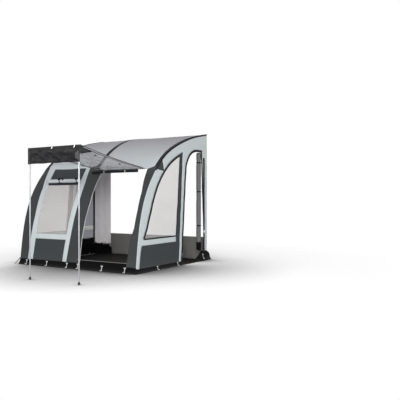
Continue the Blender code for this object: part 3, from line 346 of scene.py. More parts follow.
# %% Make the films
def film(name, colour, clearness, edge_on):
    """Clear flexible film, denser where it is seen edge on."""
    material, tree, shader, place = shaded(name, "clear_film", Base_Color=(*colour, 1.0), Specular_IOR_Level=0.6)
    ripples = add(tree, "TexNoise", Vector=place, Scale=7.0, Detail=2.0)
    scuffs = add(tree, "TexNoise", Vector=place, Scale=60.0, Detail=5.0)
    facing = add(tree, "LayerWeight", Blend=0.35).outputs["Facing"]
    fill(tree, shader, {"Roughness": ranged(tree, scuffs, (0.3, 0.75), (0.04, 0.16)),
                        "Alpha": ranged(tree, facing, (0.0, 1.0), (clearness, edge_on)),
                        "Normal": add(tree, "Bump", Height=ripples, Distance=0.004, Strength=0.5)})
    return material


CLEAR_FILM = film("clear_film", (0.62, 0.595, 0.585), 0.26, 0.6)
# The canopy's film is a lighter copy of the clear film: its extra lightness is painted light, standing in for light
# from above that shines through onto its shaded underside.
CANOPY_FILM = film("canopy_film", (0.66, 0.64, 0.71), 0.17, 0.42)

# %% [markdown]
# ## Metal, rubber and plastic
# The poles are drawn tube with a silver finish. Fine scratches run along a tube, so the noise that drives
# their roughness is stretched along Z by a Mapping node. Rubber and moulded plastic share the weather group.


# %% Make the hard finishes
def hard(name, record_slot, colour, roughness, metallic=0.0, grain=700.0, along=None):
    """A metal, rubber, plastic or thread with a fine grain, which can be finer or coarser along Z."""
    material, tree, shader, place = shaded(name, record_slot, Metallic=metallic)
    worn = add(tree, "Group", {"node_tree": weather}, Vector=place, Scale=9.0, Amount=0.2, Dust_Height=0.1)
    drawn = add(tree, "Mapping", Vector=place, Scale=(grain, grain, along or grain))
    scratch = add(tree, "TexNoise", Vector=drawn, Scale=1.0, Detail=3.0)
    fill(tree, shader, {
        "Base Color": mixed(tree, 1.0, (*colour, 1.0), grey(tree, worn.outputs["Tint"]), "MULTIPLY"),
        "Roughness": ranged(tree, scratch, (0.3, 0.7), (roughness * 0.8, roughness * 1.25)),
        "Normal": add(tree, "Bump", Height=scratch, Distance=0.00004, Strength=0.5)})
    return material


STEEL = hard("silver_tube", "steel_tube", (0.50, 0.51, 0.53), 0.42, 1.0, 900.0, 12.0)
THREAD = hard("sewing_thread", "light_cloth", (0.42, 0.43, 0.43), 0.7, grain=900.0)
DARK_THREAD = hard("dark_thread", "tape_cloth", (0.07, 0.07, 0.072), 0.7, grain=900.0)
PEG_STEEL = hard("peg_steel", "steel_tube", (0.55, 0.55, 0.56), 0.4, 1.0, 300.0)
RUBBER = hard("black_rubber", "black_rubber", (0.02, 0.02, 0.02), 0.7, grain=400.0)
PLASTIC = hard("black_plastic", "valve_plastic", (0.022, 0.022, 0.023), 0.42)
WHITE_PLASTIC = hard("white_plastic", None, (0.62, 0.62, 0.60), 0.4)
PALE_PLASTIC = hard("pale_plastic", None, (0.92, 0.92, 0.91), 0.4)
print("materials:", len(bpy.data.materials))

# %% [markdown]
# ## The line of the arch
# All sheets of the front and roof lie on one surface, which the air beams bow into shape. The real panels
# are flat cloth that pulls into that surface when the beams fill. It could be sculpted, but a smooth spline
# through a few measured points is exact, and every panel can ask for a point by how far up the cloth it is.

# %% The surface that the cloth follows
HALF_WIDTH, DEPTH, RAIL_HEIGHT = 1.30, 2.25, 2.42
RAIL_Y = DEPTH / 2
LEFT_EAVE, RIGHT_EAVE = 1.88, 1.80
CROWN_RISE = 0.065
BEAM_RADIUS, BEAM_INSET = 0.055, 0.0573
BEAM_ACROSS = {"left": -HALF_WIDTH + BEAM_INSET, "centre": 0.0, "right": HALF_WIDTH - BEAM_INSET}
ARCH_SHARES = ((1.000, 0.000), (0.967, 0.248), (0.900, 0.475), (0.756, 0.686),
               (0.631, 0.795), (0.440, 0.888), (0.222, 0.957), (0.000, 1.000))


def spline_through(knots, values, at):
    """Natural cubic spline through a few values."""
    count = len(knots)
    steps = np.diff(knots)
    slopes = np.diff(values) / steps
    system = np.eye(count)
    right = np.zeros(count)
    for i in range(1, count - 1):
        system[i, i - 1:i + 2] = steps[i - 1], 2 * (steps[i - 1] + steps[i]), steps[i]
        right[i] = 6 * (slopes[i] - slopes[i - 1])
    bend = np.linalg.solve(system, right)
    cell = np.clip(np.searchsorted(knots, at, side="right") - 1, 0, count - 2)
    here, ahead, width = at - knots[cell], knots[cell + 1] - at, steps[cell]
    return ((bend[cell] * ahead ** 3 + bend[cell + 1] * here ** 3) / (6 * width)
            + (values[cell] / width - bend[cell] * width / 6) * ahead
            + (values[cell + 1] / width - bend[cell + 1] * width / 6) * here)


def spread(*parts):
    """Coordinates as one array of points; numbers, rows and columns fill a grid between them."""
    return np.stack(np.broadcast_arrays(*parts), axis=-1)


def lengths_along(points):
    """How far along a line each of its points is."""
    return np.concatenate([[0.0], np.cumsum(np.linalg.norm(np.diff(points, axis=0), axis=1))])


points = np.array([(RAIL_Y - DEPTH * back, RAIL_HEIGHT * up) for back, up in ARCH_SHARES])
knots = lengths_along(points)
spots = np.linspace(0.0, knots[-1], 600)
arch_y, arch_z = (spline_through(knots, points[:, k], spots) for k in (0, 1))
arch_s = lengths_along(spread(arch_y, arch_z))
arch_ty, arch_tz = np.gradient(arch_y, arch_s), np.gradient(arch_z, arch_s)
ARCH_LENGTH = float(arch_s[-1])


def skin(x, up, out=0.0):
    """Points of the taut skin, `up` metres along the cloth from the ground and moved out square to it."""
    share = np.clip((up - LEFT_EAVE) / (ARCH_LENGTH - LEFT_EAVE), 0.0, 1.0)
    away = out + CROWN_RISE * np.sin(np.pi * share) ** 2 * (1 - (x / HALF_WIDTH) ** 2)
    y = np.interp(up, arch_s, arch_y) - away * np.interp(up, arch_s, arch_tz)
    z = np.interp(up, arch_s, arch_z) + away * np.interp(up, arch_s, arch_ty)
    return spread(x, y, z)


print("arch", round(ARCH_LENGTH, 3), "m along the cloth")

# %% [markdown]
# ## Swells and slack
# Taut cloth is never quite smooth. A few cosine waves in random directions, from a fixed seed, add up to
# soft swells that come out the same on every run. The cloth also sinks a little where no beam carries it.


# %% Helpers for soft shapes
def waves(a, b, length, seed):
    """Smooth random swells of about one length, from a fixed seed."""
    total = 0.0
    for turn, phase, stretch in np.random.default_rng(seed).random((9, 3)) * (2 * math.pi, 2 * math.pi, 1.0):
        rate = 2 * math.pi / (length * (0.7 + 0.6 * stretch))
        total = total + np.cos(rate * (a * math.cos(turn) + b * math.sin(turn)) + phase)
    return total / 3


def ease(low, high, value):
    """A smooth step from 0 to 1."""
    t = np.clip((value - low) / (high - low), 0.0, 1.0)
    return t * t * (3 - 2 * t)


def slack(x, up):
    """How far the cloth lies outside the taut skin: it sinks a little between the beams and ripples."""
    reach = np.min([np.abs(x - beam) for beam in BEAM_ACROSS.values()], axis=0)
    free = ease(0.045, 0.40, reach)
    return -0.007 * free + free * 0.0022 * waves(x, up, 0.42, 11) + 0.0006 * waves(x, up, 0.12, 12)


print("slack at one place between two beams:", round(1000 * float(slack(0.6, 2.5)), 1), "mm")

# %% [markdown]
# ## Sheets
# Each cloth is a grid of points made into a mesh, because a grid can carry folds and has an even UV map,
# laid out in metres. Solidify gives the sheet its thickness at the end, so the grid itself stays simple.

# %% Helpers for sheets
SHEET = 0.0009


def linked(name, mesh):
    """A mesh as an object of the scene."""
    obj = bpy.data.objects.new(name, mesh)
    scene.collection.objects.link(obj)
    return obj


def mesh_of(name, corners, faces, flat):
    """A smooth mesh with its UV map in metres."""
    mesh = bpy.data.meshes.new(name)
    mesh.from_pydata(corners.tolist(), [], faces)
    layer = mesh.uv_layers.new(name="cloth")
    loops = np.zeros(len(mesh.loops), np.int32)
    mesh.loops.foreach_get("vertex_index", loops)
    layer.data.foreach_set("uv", flat[loops].astype(np.float32).ravel())
    mesh.polygons.foreach_set("use_smooth", np.ones(len(mesh.polygons), bool))
    return linked(name, mesh)


def mesh_from_grid(name, grid, flat, outward=None, closed=False):
    """A quad mesh from rows of points, facing outward."""
    rows, columns = grid.shape[:2]
    index = np.arange(rows * columns).reshape(rows, columns)
    if closed:
        index = np.hstack([index, index[:, :1]])
    quads = np.stack([index[:-1, :-1], index[:-1, 1:], index[1:, 1:], index[1:, :-1]], axis=-1).reshape(-1, 4)
    corners = grid.reshape(-1, 3)
    a, b, c = (corners[quads[:, k]] for k in (0, 1, 2))
    if outward is not None and float(np.cross(b - a, c - b).sum(0) @ np.array(outward)) < 0:
        quads = quads[:, ::-1]
    return mesh_of(name, corners, quads.tolist(), flat.reshape(-1, 2))


def thicken(obj, thickness=SHEET, offset=-1.0):
    """Give a sheet its thickness."""
    solid = obj.modifiers.new("thickness", "SOLIDIFY")
    solid.thickness, solid.offset = thickness, offset
    return obj

# %% [markdown]
# ## Settling a piece
# Every finished piece gets its material, is attached to the body that it rides on, and hides the solids that it stands
# for. One function does all of it, so that no piece is forgotten, and prints the piece's name.


# %% A helper that settles a piece
def settle(obj, material, stands_for=(), body="awning"):
    """Give a finished piece its material and its body, and hide the solids it stands for."""
    if not len(obj.data.materials):
        obj.data.materials.append(material)
    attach(obj, body)
    if stands_for:
        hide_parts(*stands_for)
    print(obj.name, "on", body)
    return obj

# %% [markdown]
# ## Laying a panel
# A panel is a grid between two edges, which are tables of distance across at heights up the cloth. The
# seams lap as sewn ones do: the panel underneath runs on by a few millimetres and the one on top lies one
# cloth further out, so no gap shows from close by.

# %% Helpers for panels
LAP = 0.006
STEP = 0.016


def count_of(length, step, least=2):
    """How many points a length needs to be cut into even steps."""
    return max(int(length / step), least) + 1


def edge_of(shares, eave, tape_edge):
    """A panel's edge: up the front as a table of shares says, then in to a roof tape's edge."""
    up = [share * eave for share, across in shares] + [eave + 0.06, ARCH_LENGTH]
    sideways = [across * HALF_WIDTH for share, across in shares] + [tape_edge, tape_edge]
    return lambda s: np.interp(s, up, sideways)


def straight_edge(across):
    """An edge that goes straight up."""
    return lambda s: np.full_like(np.asarray(s, float), across)


def panel(name, left, right, low, high, lift=0.0, lap=(0.0, 0.0, 0.0, 0.0)):
    """A sheet on the arch between two edges; lap lengthens it at left, right, bottom and top."""
    bottom, top = low - lap[2], high + lap[3]
    up = np.linspace(bottom, top, count_of(top - bottom, STEP))[:, None]
    first, last = left(up) - lap[0], right(up) + lap[1]
    share = np.linspace(0.0, 1.0, count_of(float(np.max(last - first)), STEP))[None, :]
    x = first + (last - first) * share
    grid = skin(x, up, lift + slack(x, up))
    return (thicken(mesh_from_grid(name, grid, spread(x, up), (0.0, -1.0, 1.0))),
            (float(np.mean(last - first)), float(top - bottom)))

# %% [markdown]
# ## Front and roof
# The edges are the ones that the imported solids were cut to. Wide dark bands cover the beams on the front
# and narrow to tapes over the roof. Light trims frame the left window and its dark panels.

# %% Edges of the panels
TAPE_WIDTH, CENTRE_TAPE = 0.058, 0.085
FRONT_SKIRT = 0.078
BAR_LOW, BAR_HIGH = 0.477, 0.570
WINDOW_TOP = 1.490
HEAD_STRIP = 0.13
band_left = edge_of(((0.00, -0.858), (0.48, -0.815), (0.75, -0.838), (1.00, -0.930)),
                    LEFT_EAVE, -HALF_WIDTH + TAPE_WIDTH)
trim_left = edge_of(((0.00, -0.768), (0.24, -0.744), (0.50, -0.742), (0.78, -0.758), (1.00, -0.802)),
                    LEFT_EAVE, -HALF_WIDTH)
trim_right = edge_of(((0.00, -0.222), (0.25, -0.182), (0.48, -0.161), (0.67, -0.147), (0.85, -0.180), (1.00, -0.212)),
                     LEFT_EAVE, 0.0)
centre_left = edge_of(((0.00, -0.146), (0.30, -0.094), (0.48, -0.072), (0.65, -0.057), (0.80, -0.072),
                       (1.00, -0.142)), LEFT_EAVE, -CENTRE_TAPE / 2)
centre_right = edge_of(((0.00, 0.094), (0.28, 0.102), (0.48, 0.120), (0.62, 0.136), (0.80, 0.130), (1.00, 0.122)),
                       RIGHT_EAVE, CENTRE_TAPE / 2)
band_right = edge_of(((0.00, 0.842), (0.20, 0.869), (0.27, 0.878), (0.40, 0.922), (0.56, 0.932), (0.73, 0.926),
                      (0.86, 0.892), (1.00, 0.862)), RIGHT_EAVE, HALF_WIDTH - TAPE_WIDTH)
outer_left, outer_right = straight_edge(-HALF_WIDTH), straight_edge(HALF_WIDTH)
print("window bay at mid height:", [round(float(edge(1.0)), 3) for edge in (trim_left, trim_right)])

# %% [markdown]
# With the edges known, each sheet is one row of a table: its name, the solid that it stands for, its cloth, its
# two edges, its two heights, how far out it lies and its laps. One loop lays them all. The covers' faces over
# the roof take a second, darker cloth, because the wide bands end in narrow tapes there.

# %% Beam covers, roof sheets and the left bay
ON_TOP = 2 * SHEET
TAPES_ABOVE = RAIL_HEIGHT - 0.70
SIDES, ALL_ROUND, NO_LAP = (LAP, LAP, 0.0, 0.0), (LAP, LAP, LAP, LAP), (0.0, 0.0, 0.0, 0.0)
ARCH_PANELS = (
    ("roof_sheet_left", "roof_panel_left", ROOF_CLOTH, band_left, centre_left, LEFT_EAVE, ARCH_LENGTH, 0.0, SIDES),
    ("roof_sheet_right", "roof_panel_right", ROOF_CLOTH, centre_right, band_right, RIGHT_EAVE, ARCH_LENGTH, 0.0, SIDES),
    ("cover_left", "beam_cover_left", BAND_CLOTH, outer_left, band_left, FRONT_SKIRT, ARCH_LENGTH, ON_TOP, NO_LAP),
    ("cover_centre", "beam_cover_centre", BAND_CLOTH, centre_left, centre_right, FRONT_SKIRT, ARCH_LENGTH, ON_TOP,
     NO_LAP),
    ("cover_right", "beam_cover_right", BAND_CLOTH, band_right, outer_right, FRONT_SKIRT, ARCH_LENGTH, ON_TOP, NO_LAP),
    ("bay_dark_low", "bay_lower_panel", DARK_CLOTH, trim_left, trim_right, FRONT_SKIRT, BAR_LOW, 0.0,
     (LAP, LAP, 0.0, LAP)),
    ("bay_film", "bay_window", CLEAR_FILM, trim_left, trim_right, BAR_HIGH, WINDOW_TOP, 0.0, ALL_ROUND),
    ("bay_dark_high", "bay_upper_panel", UPPER_CLOTH, trim_left, trim_right, WINDOW_TOP, LEFT_EAVE, SHEET, SIDES),
    ("bay_head_strip", "roof_panel_left", LIGHT_CLOTH, band_left, centre_left, LEFT_EAVE - 0.004,
     LEFT_EAVE + HEAD_STRIP, SHEET, SIDES),
)
for name, node, material, left, right, low, high, lift, lap in ARCH_PANELS:
    obj, flat = panel(name, left, right, low, high, lift, lap)
    settle(obj, material, [node])
    if name.startswith("cover"):
        obj.data.materials.append(TAPE_CLOTH)
        eave_y = skin(0.0, RIGHT_EAVE if name == "cover_right" else LEFT_EAVE)[1]
        for face in obj.data.polygons:
            face.material_index = int(face.center.z > TAPES_ABOVE and face.center.y > eave_y)
print("panels:", len(ARCH_PANELS))

# %% [markdown]
# ## A frame of trim
# The light trim of the left bay is one sewn frame: two slanting strips and a cross bar. Three strips that
# meet would need their seams hidden, so the grid of the whole bay is laid and the cells of the openings are
# left out, as a tailor cuts a window out of a sheet.

# %% The left bay's light trim
ROW_COUNTS, COLUMN_COUNTS = (26, 6, 84), (8, 60, 8)


def trim_frame():
    heights = (FRONT_SKIRT, BAR_LOW, BAR_HIGH, LEFT_EAVE)
    rows = [np.linspace(heights[k], heights[k + 1], count + 1)[:-1] for k, count in enumerate(ROW_COUNTS)]
    up = np.concatenate(rows + [[LEFT_EAVE]])[:, None]
    edges = [band_left(up) - LAP, trim_left(up), trim_right(up), centre_left(up) + LAP]
    across = [edges[k] + (edges[k + 1] - edges[k]) * np.arange(n) / n for k, n in enumerate(COLUMN_COUNTS)]
    x = np.hstack(across + [edges[3]])
    obj = mesh_from_grid("bay_trim_frame", skin(x, up, SHEET + slack(x, up)), spread(x, up), (0.0, -1.0, 1.0))
    form = bmesh.new()
    form.from_mesh(obj.data)
    gone = []
    for face in form.faces:
        j, i = divmod(min(vertex.index for vertex in face.verts), x.shape[1])
        in_bar = ROW_COUNTS[0] <= j < ROW_COUNTS[0] + ROW_COUNTS[1]
        if COLUMN_COUNTS[0] <= i < COLUMN_COUNTS[0] + COLUMN_COUNTS[1] and not in_bar:
            gone.append(face)
    bmesh.ops.delete(form, geom=gone, context="FACES")
    form.to_mesh(obj.data)
    form.free()
    return thicken(obj)


settle(trim_frame(), LIGHT_CLOTH, ["bay_trim"])

# %% [markdown]
# ## Side walls
# A side wall is flat, with curved pieces sewn edge to edge. Their outlines are already in the packed
# solids, so they are read from there instead of being typed again: the outer face's border is chained into a
# loop, and its gentle bends are rounded.


# %% Helpers for outlines
def outline_of(node, side):
    """The border of a flat solid's outer face, as (y, z) points in order."""
    form = bmesh.new()
    form.from_mesh(nodes[node].data)
    bmesh.ops.remove_doubles(form, verts=form.verts, dist=1e-5)
    form.normal_update()
    bmesh.ops.delete(form, geom=[face for face in form.faces if face.normal.x * side < 0.9], context="FACES")
    after = {loop.vert: loop.link_loop_next.vert for face in form.faces for loop in face.loops
             if len(loop.edge.link_faces) == 1}
    first = here = next(iter(after))
    loop = []
    while not loop or here is not first:
        loop.append((here.co.y, here.co.z))
        here = after[here]
    form.free()
    return np.array(loop)


def rounded(loop, gentle=math.radians(24)):
    """Cut the corners that turn only a little, twice, and keep the sharp ones."""
    for _ in range(2):
        before, after = np.roll(loop, 1, 0), np.roll(loop, -1, 0)
        first, second = loop - before, after - loop
        turn = np.abs(np.arctan2(first[:, 0] * second[:, 1] - first[:, 1] * second[:, 0], (first * second).sum(1)))
        result = []
        for k, point in enumerate(loop):
            if turn[k] < gentle:
                result += [point * 0.75 + before[k] * 0.25, point * 0.75 + after[k] * 0.25]
            else:
                result.append(point)
        loop = np.array(result)
    return loop


def area_of(loop):
    """A loop's area, which is negative where it runs clockwise."""
    after = np.roll(loop, -1, 0)
    return 0.5 * float(np.sum(loop[:, 0] * after[:, 1] - after[:, 0] * loop[:, 1]))


def swollen(loop, distance):
    """A loop moved outwards everywhere by a small distance."""
    if abs(distance) < 1e-9:
        return loop
    way = 1.0 if area_of(loop) > 0 else -1.0
    squares = []
    for run in (loop - np.roll(loop, 1, 0), np.roll(loop, -1, 0) - loop):
        run = run / np.maximum(np.linalg.norm(run, axis=1, keepdims=True), 1e-9)
        squares.append(spread(run[:, 1], -run[:, 0]) * way)
    mitre = squares[0] + squares[1]
    mitre /= np.linalg.norm(mitre, axis=1, keepdims=True)
    return loop + mitre * distance / np.maximum((mitre * squares[0]).sum(1, keepdims=True), 0.4)


def spaced(loop, step):
    """Points every step round a loop, with its own points kept."""
    result = []
    for a, b in zip(loop, np.roll(loop, -1, 0)):
        pieces = max(int(np.linalg.norm(b - a) / step), 1)
        result += [a + (b - a) * i / pieces for i in range(pieces)]
    return np.array(result)


def inside(loop, places):
    """Which places lie inside a loop."""
    found = np.zeros(len(places), bool)
    for a, b in zip(loop, np.roll(loop, -1, 0)):
        crosses = (a[1] > places[:, 1]) != (b[1] > places[:, 1])
        rise = b[1] - a[1] if b[1] != a[1] else 1e-12
        found ^= crosses & (places[:, 0] < a[0] + (b[0] - a[0]) * (places[:, 1] - a[1]) / rise)
    return found

# %% [markdown]
# A face that fills an outline has corners on its border only, so it could not ripple. A lattice of points
# inside it, joined by a Delaunay triangulation, gives the cloth even triangles that can move in and out.

# %% Helpers for flat pieces
WALL_STEP = 0.022
WALL_IN = -0.0012


def wall_slack(y, z):
    """Ripples of a side wall: outwards only, and none where the beam or the ground holds the cloth."""
    from_arch = np.min(np.hypot(np.subtract.outer(y, arch_y[::6]), np.subtract.outer(z, arch_z[::6])), axis=-1)
    free = ease(0.08, 0.35, from_arch) * ease(0.08, 0.30, z)
    swell = 0.0030 + 0.0022 * waves(y, z, 0.40, 21) + 0.0006 * waves(y, z, 0.13, 22)
    return free * np.maximum(swell, 0.0)


def wall_piece(name, loop, side, lift=0.0, grow=0.0, ripple=wall_slack):
    """A flat cloth piece in a side wall, filled with even triangles."""
    border = spaced(swollen(loop, grow), WALL_STEP)
    low, high = border.min(0), border.max(0)
    ys = np.arange(low[0] + WALL_STEP / 2, high[0], WALL_STEP)
    zs = np.arange(low[1] + WALL_STEP / 2, high[1], WALL_STEP * 0.87)
    grid = np.array([(y + (WALL_STEP / 2 if k % 2 else 0.0), z) for k, z in enumerate(zs) for y in ys])
    grid = grid[inside(border, grid)]
    grid = [place for place in grid if np.min(np.hypot(*(border - place).T)) > WALL_STEP * 0.6]
    edges = [(k, (k + 1) % len(border)) for k in range(len(border))]
    places, _, faces, _, _, _ = delaunay_2d_cdt([Vector(place) for place in (*border, *grid)], edges, [], 1, 1e-6)
    flat = np.array([tuple(place) for place in places])
    out = HALF_WIDTH + WALL_IN + lift + ripple(flat[:, 0], flat[:, 1])
    corners = spread(side * out, flat[:, 0], flat[:, 1])
    faces = [tuple(face) for face in faces]
    a, b, c = (corners[k] for k in faces[0][:3])
    if np.cross(b - a, c - a)[0] * side < 0:
        faces = [face[::-1] for face in faces]
    return thicken(mesh_of(name, corners, faces, flat)), border, abs(area_of(border))


def wall_line(label, name, side, grow, lift):
    """A line on a side wall that follows the outline of one of its pieces."""
    loop = spaced(swollen(wall_loops[label, name], grow), 0.02)
    loop = np.vstack([loop, loop[:1]])
    return np.column_stack([side * (HALF_WIDTH + lift + wall_slack(loop[:, 0], loop[:, 1])), loop])

# %% [markdown]
# Both walls have the same five pieces, so they come from one table too, once for each side. The film lies
# under the cloth and the binding lies on top, one cloth's thickness apart, in the order they are sewn.

# %% Lay the side walls
WALL_SIDES = (("right", 1), ("left", -1))
WALL_PIECES = (
    ("wall_dark", "side_surround", DARK_CLOTH, 0.0, 0.006),
    ("wall_film", "side_window", CLEAR_FILM, -SHEET, 0.008),
    ("wall_trim", "side_trim", LIGHT_CLOTH, SHEET, 0.0),
    ("wall_frame", "side_frame", LIGHT_CLOTH, SHEET, 0.0),
    ("wall_binding", "door_binding", TAPE_CLOTH, 2 * SHEET, 0.006),
)
wall_loops = {}
for name, side in WALL_SIDES:
    for label, node, material, lift, grow in WALL_PIECES:
        loop = wall_loops[label, name] = rounded(outline_of(f"{node}_{name}", side))
        obj, border, area = wall_piece(f"{label}_{name}", loop, side, lift, grow)
        around = float(np.sum(np.hypot(*(border - np.roll(border, 1, 0)).T)))
        settle(obj, material, [f"{node}_{name}"])
print("wall pieces:", len(wall_loops))

# %% [markdown]
# ## The closed door on the left
# The left doorway is closed by a light door with a black foot. A closed door is zipped in on three sides,
# so it hangs a little looser than the wall around it and shows soft upright folds.

# %% The left door
DOOR_BAR_LOW, DOOR_BAR_HIGH, DOOR_BAR_THICK = 0.515, 0.610, 0.005
door_low, door_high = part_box("door_panel_left")
DOOR_MIDDLE, DOOR_WIDTH = (door_low.y + door_high.y) / 2, door_high.y - door_low.y


def door_slack(y, z):
    free = ease(0.02, 0.15, 0.5 * DOOR_WIDTH - np.abs(y - DOOR_MIDDLE))
    return free * (0.0030 + 0.0030 * waves(y * 2.0, z * 0.5, 0.5, 31) + 0.0006 * waves(y, z, 0.12, 32))


def span_at(loop, z):
    """Where an outline starts and ends along y, at a height."""
    crossings = [a[0] + (b[0] - a[0]) * (z - a[1]) / (b[1] - a[1]) for a, b in zip(loop, np.roll(loop, -1, 0))
                 if (a[1] > z) != (b[1] > z)]
    return min(crossings), max(crossings)


door_loop = rounded(outline_of("door_panel_left", -1))
foot_loop = rounded(outline_of("door_foot_left", -1))
for name, node, material, loop in (("door_sheet", "door_panel_left", DOOR_CLOTH, door_loop),
                                   ("door_foot", "door_foot_left", BLACK_VINYL, foot_loop)):
    obj, border, area = wall_piece(name, loop, -1, 0.0, 0.008, ripple=door_slack)
    settle(obj, material, [node])
# The bar is pale cloth, lighter than the light trims outside: painted light for the dim inside of the awning.
bar = [(y, z) for z, turn in ((DOOR_BAR_LOW, 1), (DOOR_BAR_HIGH, -1)) for y in span_at(door_loop, z)[::turn]]
door_bar = wall_piece("door_bar", np.array(bar), -1, 0.002, ripple=door_slack)[0]
door_bar.modifiers["thickness"].thickness = DOOR_BAR_THICK
settle(door_bar, PALE_CLOTH, ["door_panel_left"])
print("left door closed")

# %% [markdown]
# ## Air beams
# An air beam is an airtight tube in a woven sleeve, blown up hard. It is swept along the arch, a fixed
# distance under the skin, and its ends are drawn in to a point as a balloon's are. The sleeve puckers a little
# on the inside of the bend, because that side is shorter. A curve with a bevel would give the tube too, but not
# the puckers, so the rings are laid one by one and the last opening at each end is capped.


# %% Inflate the beams
def closed_up(obj):
    """Merge a tube's poles, cap its ends and turn its faces outwards."""
    form = bmesh.new()
    form.from_mesh(obj.data)
    bmesh.ops.remove_doubles(form, verts=form.verts, dist=1e-5)
    bmesh.ops.holes_fill(form, edges=[edge for edge in form.edges if edge.is_boundary], sides=0)
    bmesh.ops.recalc_face_normals(form, faces=form.faces)
    form.to_mesh(obj.data)
    form.free()
    return obj


def fullness(up, reach):
    """How full a closed form is along its length, with both ends rounded over a reach."""
    ends = np.minimum(up - up[0], up[-1] - up)
    return np.sqrt(np.clip(1 - (1 - np.clip(ends / reach, 0.0, 1.0)) ** 2, 0.0, 1.0))


def beam(name):
    up = np.linspace(0.035, ARCH_LENGTH - 0.02, 260)[:, None]
    turn = np.linspace(0.0, 2 * math.pi, 33)[None, :-1]
    inner = np.clip(-np.sin(turn), 0.0, 1.0)
    puckers = 0.5 + 0.5 * np.cos(up * 2 * math.pi / 0.085 + waves(up, turn, 0.7, 41))
    size = BEAM_RADIUS * fullness(up, 0.05) * (1 - 0.012 * inner * puckers)
    grid = skin(BEAM_ACROSS[name] + size * np.cos(turn), up + 0 * turn, -BEAM_INSET + size * np.sin(turn))
    return closed_up(mesh_from_grid(f"beam_sleeve_{name}", grid, spread(turn * BEAM_RADIUS, up), closed=True))


for name in BEAM_ACROSS:
    settle(beam(name), SLEEVE, [f"air_beam_{name}"])

# %% [markdown]
# ## Canopy
# The right bay's front panel is unzipped, lifted and held out on two poles. It is one continuous sheet:
# light trims at its sides, clear film in the middle and a dark end that is sewn over the front bar. Cloth
# that is held at both ends dips in the middle, and long soft folds run from one end to the other.

# %% The canopy's surface
tilt = next(joint for joint in frame["joints"] if joint["name"] == "canopy_tilt")
hinge_y, hinge_z = tilt["pos_m"][1:]
bar_low, bar_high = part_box("canopy_bar")
BAR_Y, BAR_Z = (bar_low.y + bar_high.y) / 2, (bar_low.z + bar_high.z) / 2
BAR_RADIUS = (bar_high.z - bar_low.z) / 2
SLEEVE_RADIUS = BAR_RADIUS + 0.0016
COVER_RADIUS = SLEEVE_RADIUS + 0.0020
COVER_TURN = math.radians(40)
CANOPY_LENGTH = hinge_y - BAR_Y
ROOT_LEFT, ROOT_RIGHT, END_LEFT, END_RIGHT = 0.100, 1.100, 0.250, 1.230
CANOPY_WIDTH = END_RIGHT - END_LEFT
CANOPY_TRIM, CANOPY_HEAD, CANOPY_DARK, CANOPY_SAG = 0.055, 0.060, 0.350, 0.036
TRIM_STOP, DARK_BOW = 0.120, 0.060
TRIM_SHARE = CANOPY_TRIM / (ROOT_RIGHT - ROOT_LEFT)
DARK_START = CANOPY_LENGTH - CANOPY_DARK
CANOPY_END = CANOPY_LENGTH + COVER_RADIUS * COVER_TURN
TRIM_END = CANOPY_LENGTH - TRIM_STOP
INNER = TRIM_SHARE - 0.006, 1 - TRIM_SHARE + 0.006


def canopy_point(share, out, lift=0.0):
    """Points of the canopy: a share of its width, and a distance out from the eave and over the bar."""
    part = np.minimum(out / CANOPY_LENGTH, 1.0)
    left = ROOT_LEFT + (END_LEFT - ROOT_LEFT) * part
    right = ROOT_RIGHT + (END_RIGHT - ROOT_RIGHT) * part
    hollow = np.sin(np.pi * part)
    sag = CANOPY_SAG * hollow * (0.6 + 0.4 * np.sin(np.pi * share))
    long_folds = 0.007 * waves(share * 1.9, out * 0.22, 0.42, 51) * np.sin(np.pi * np.clip(share, 0.0, 1.0))
    ripple = hollow * (long_folds + 0.0012 * waves(share, out, 0.16, 52))
    over = np.clip((out - CANOPY_LENGTH) / COVER_RADIUS, 0.0, COVER_TURN)
    reach = COVER_RADIUS + lift
    y = hinge_y + (BAR_Y - hinge_y) * part - reach * np.sin(over)
    z = hinge_z + lift + (BAR_Z + reach - hinge_z - lift) * part - sag + ripple - reach * (1 - np.cos(over))
    return spread(left + (right - left) * share, y, z)


def canopy_sheet(shares, low, high, lift=0.0, step=0.014, name="part"):
    """A piece of the canopy between two shares of its width and two distances out, or lines of them."""
    share = np.linspace(*shares, count_of((shares[1] - shares[0]) * CANOPY_WIDTH, step))[None, :]
    low, high = (edge(share) if callable(edge) else np.full_like(share, edge) for edge in (low, high))
    out = low + (high - low) * np.linspace(0.0, 1.0, count_of(float(np.max(high - low)), step))[:, None]
    return mesh_from_grid(name, canopy_point(share, out, lift), spread(share * CANOPY_WIDTH, out), (0.0, -1.0, 1.0))


def dark_seam(share, lap=0.0):
    """Where the film ends and the dark end begins: a shallow curve."""
    return DARK_START - DARK_BOW * np.sin(np.pi * np.clip(share, 0.0, 1.0)) + lap

# %% [markdown]
# The canopy's light trim is a frame like the bay's: two long strips and a head that is sewn to the eave.
# Here the strips are simple enough to lay as three sheets that lap at their corners, joined into one mesh.
# Black bindings, on both edges of each strip, carry the zips that close the doorway when it comes down. They
# stop short of the eave and of the bar, to leave room for the canopy's tilt.

# %% The canopy's pieces
def joined(name, pieces):
    """Several meshes as one object."""
    form = bmesh.new()
    for piece in pieces:
        form.from_mesh(piece.data)
        bpy.data.objects.remove(piece)
    mesh = bpy.data.meshes.new(name)
    form.to_mesh(mesh)
    form.free()
    return linked(name, mesh)


FULL = (0.0, 1.0)
BINDING, BINDING_THICK = 0.016, 0.0045
BINDING_START, BINDING_END = 0.11, CANOPY_LENGTH - 0.016
OVER_BAR = CANOPY_LENGTH - 0.03

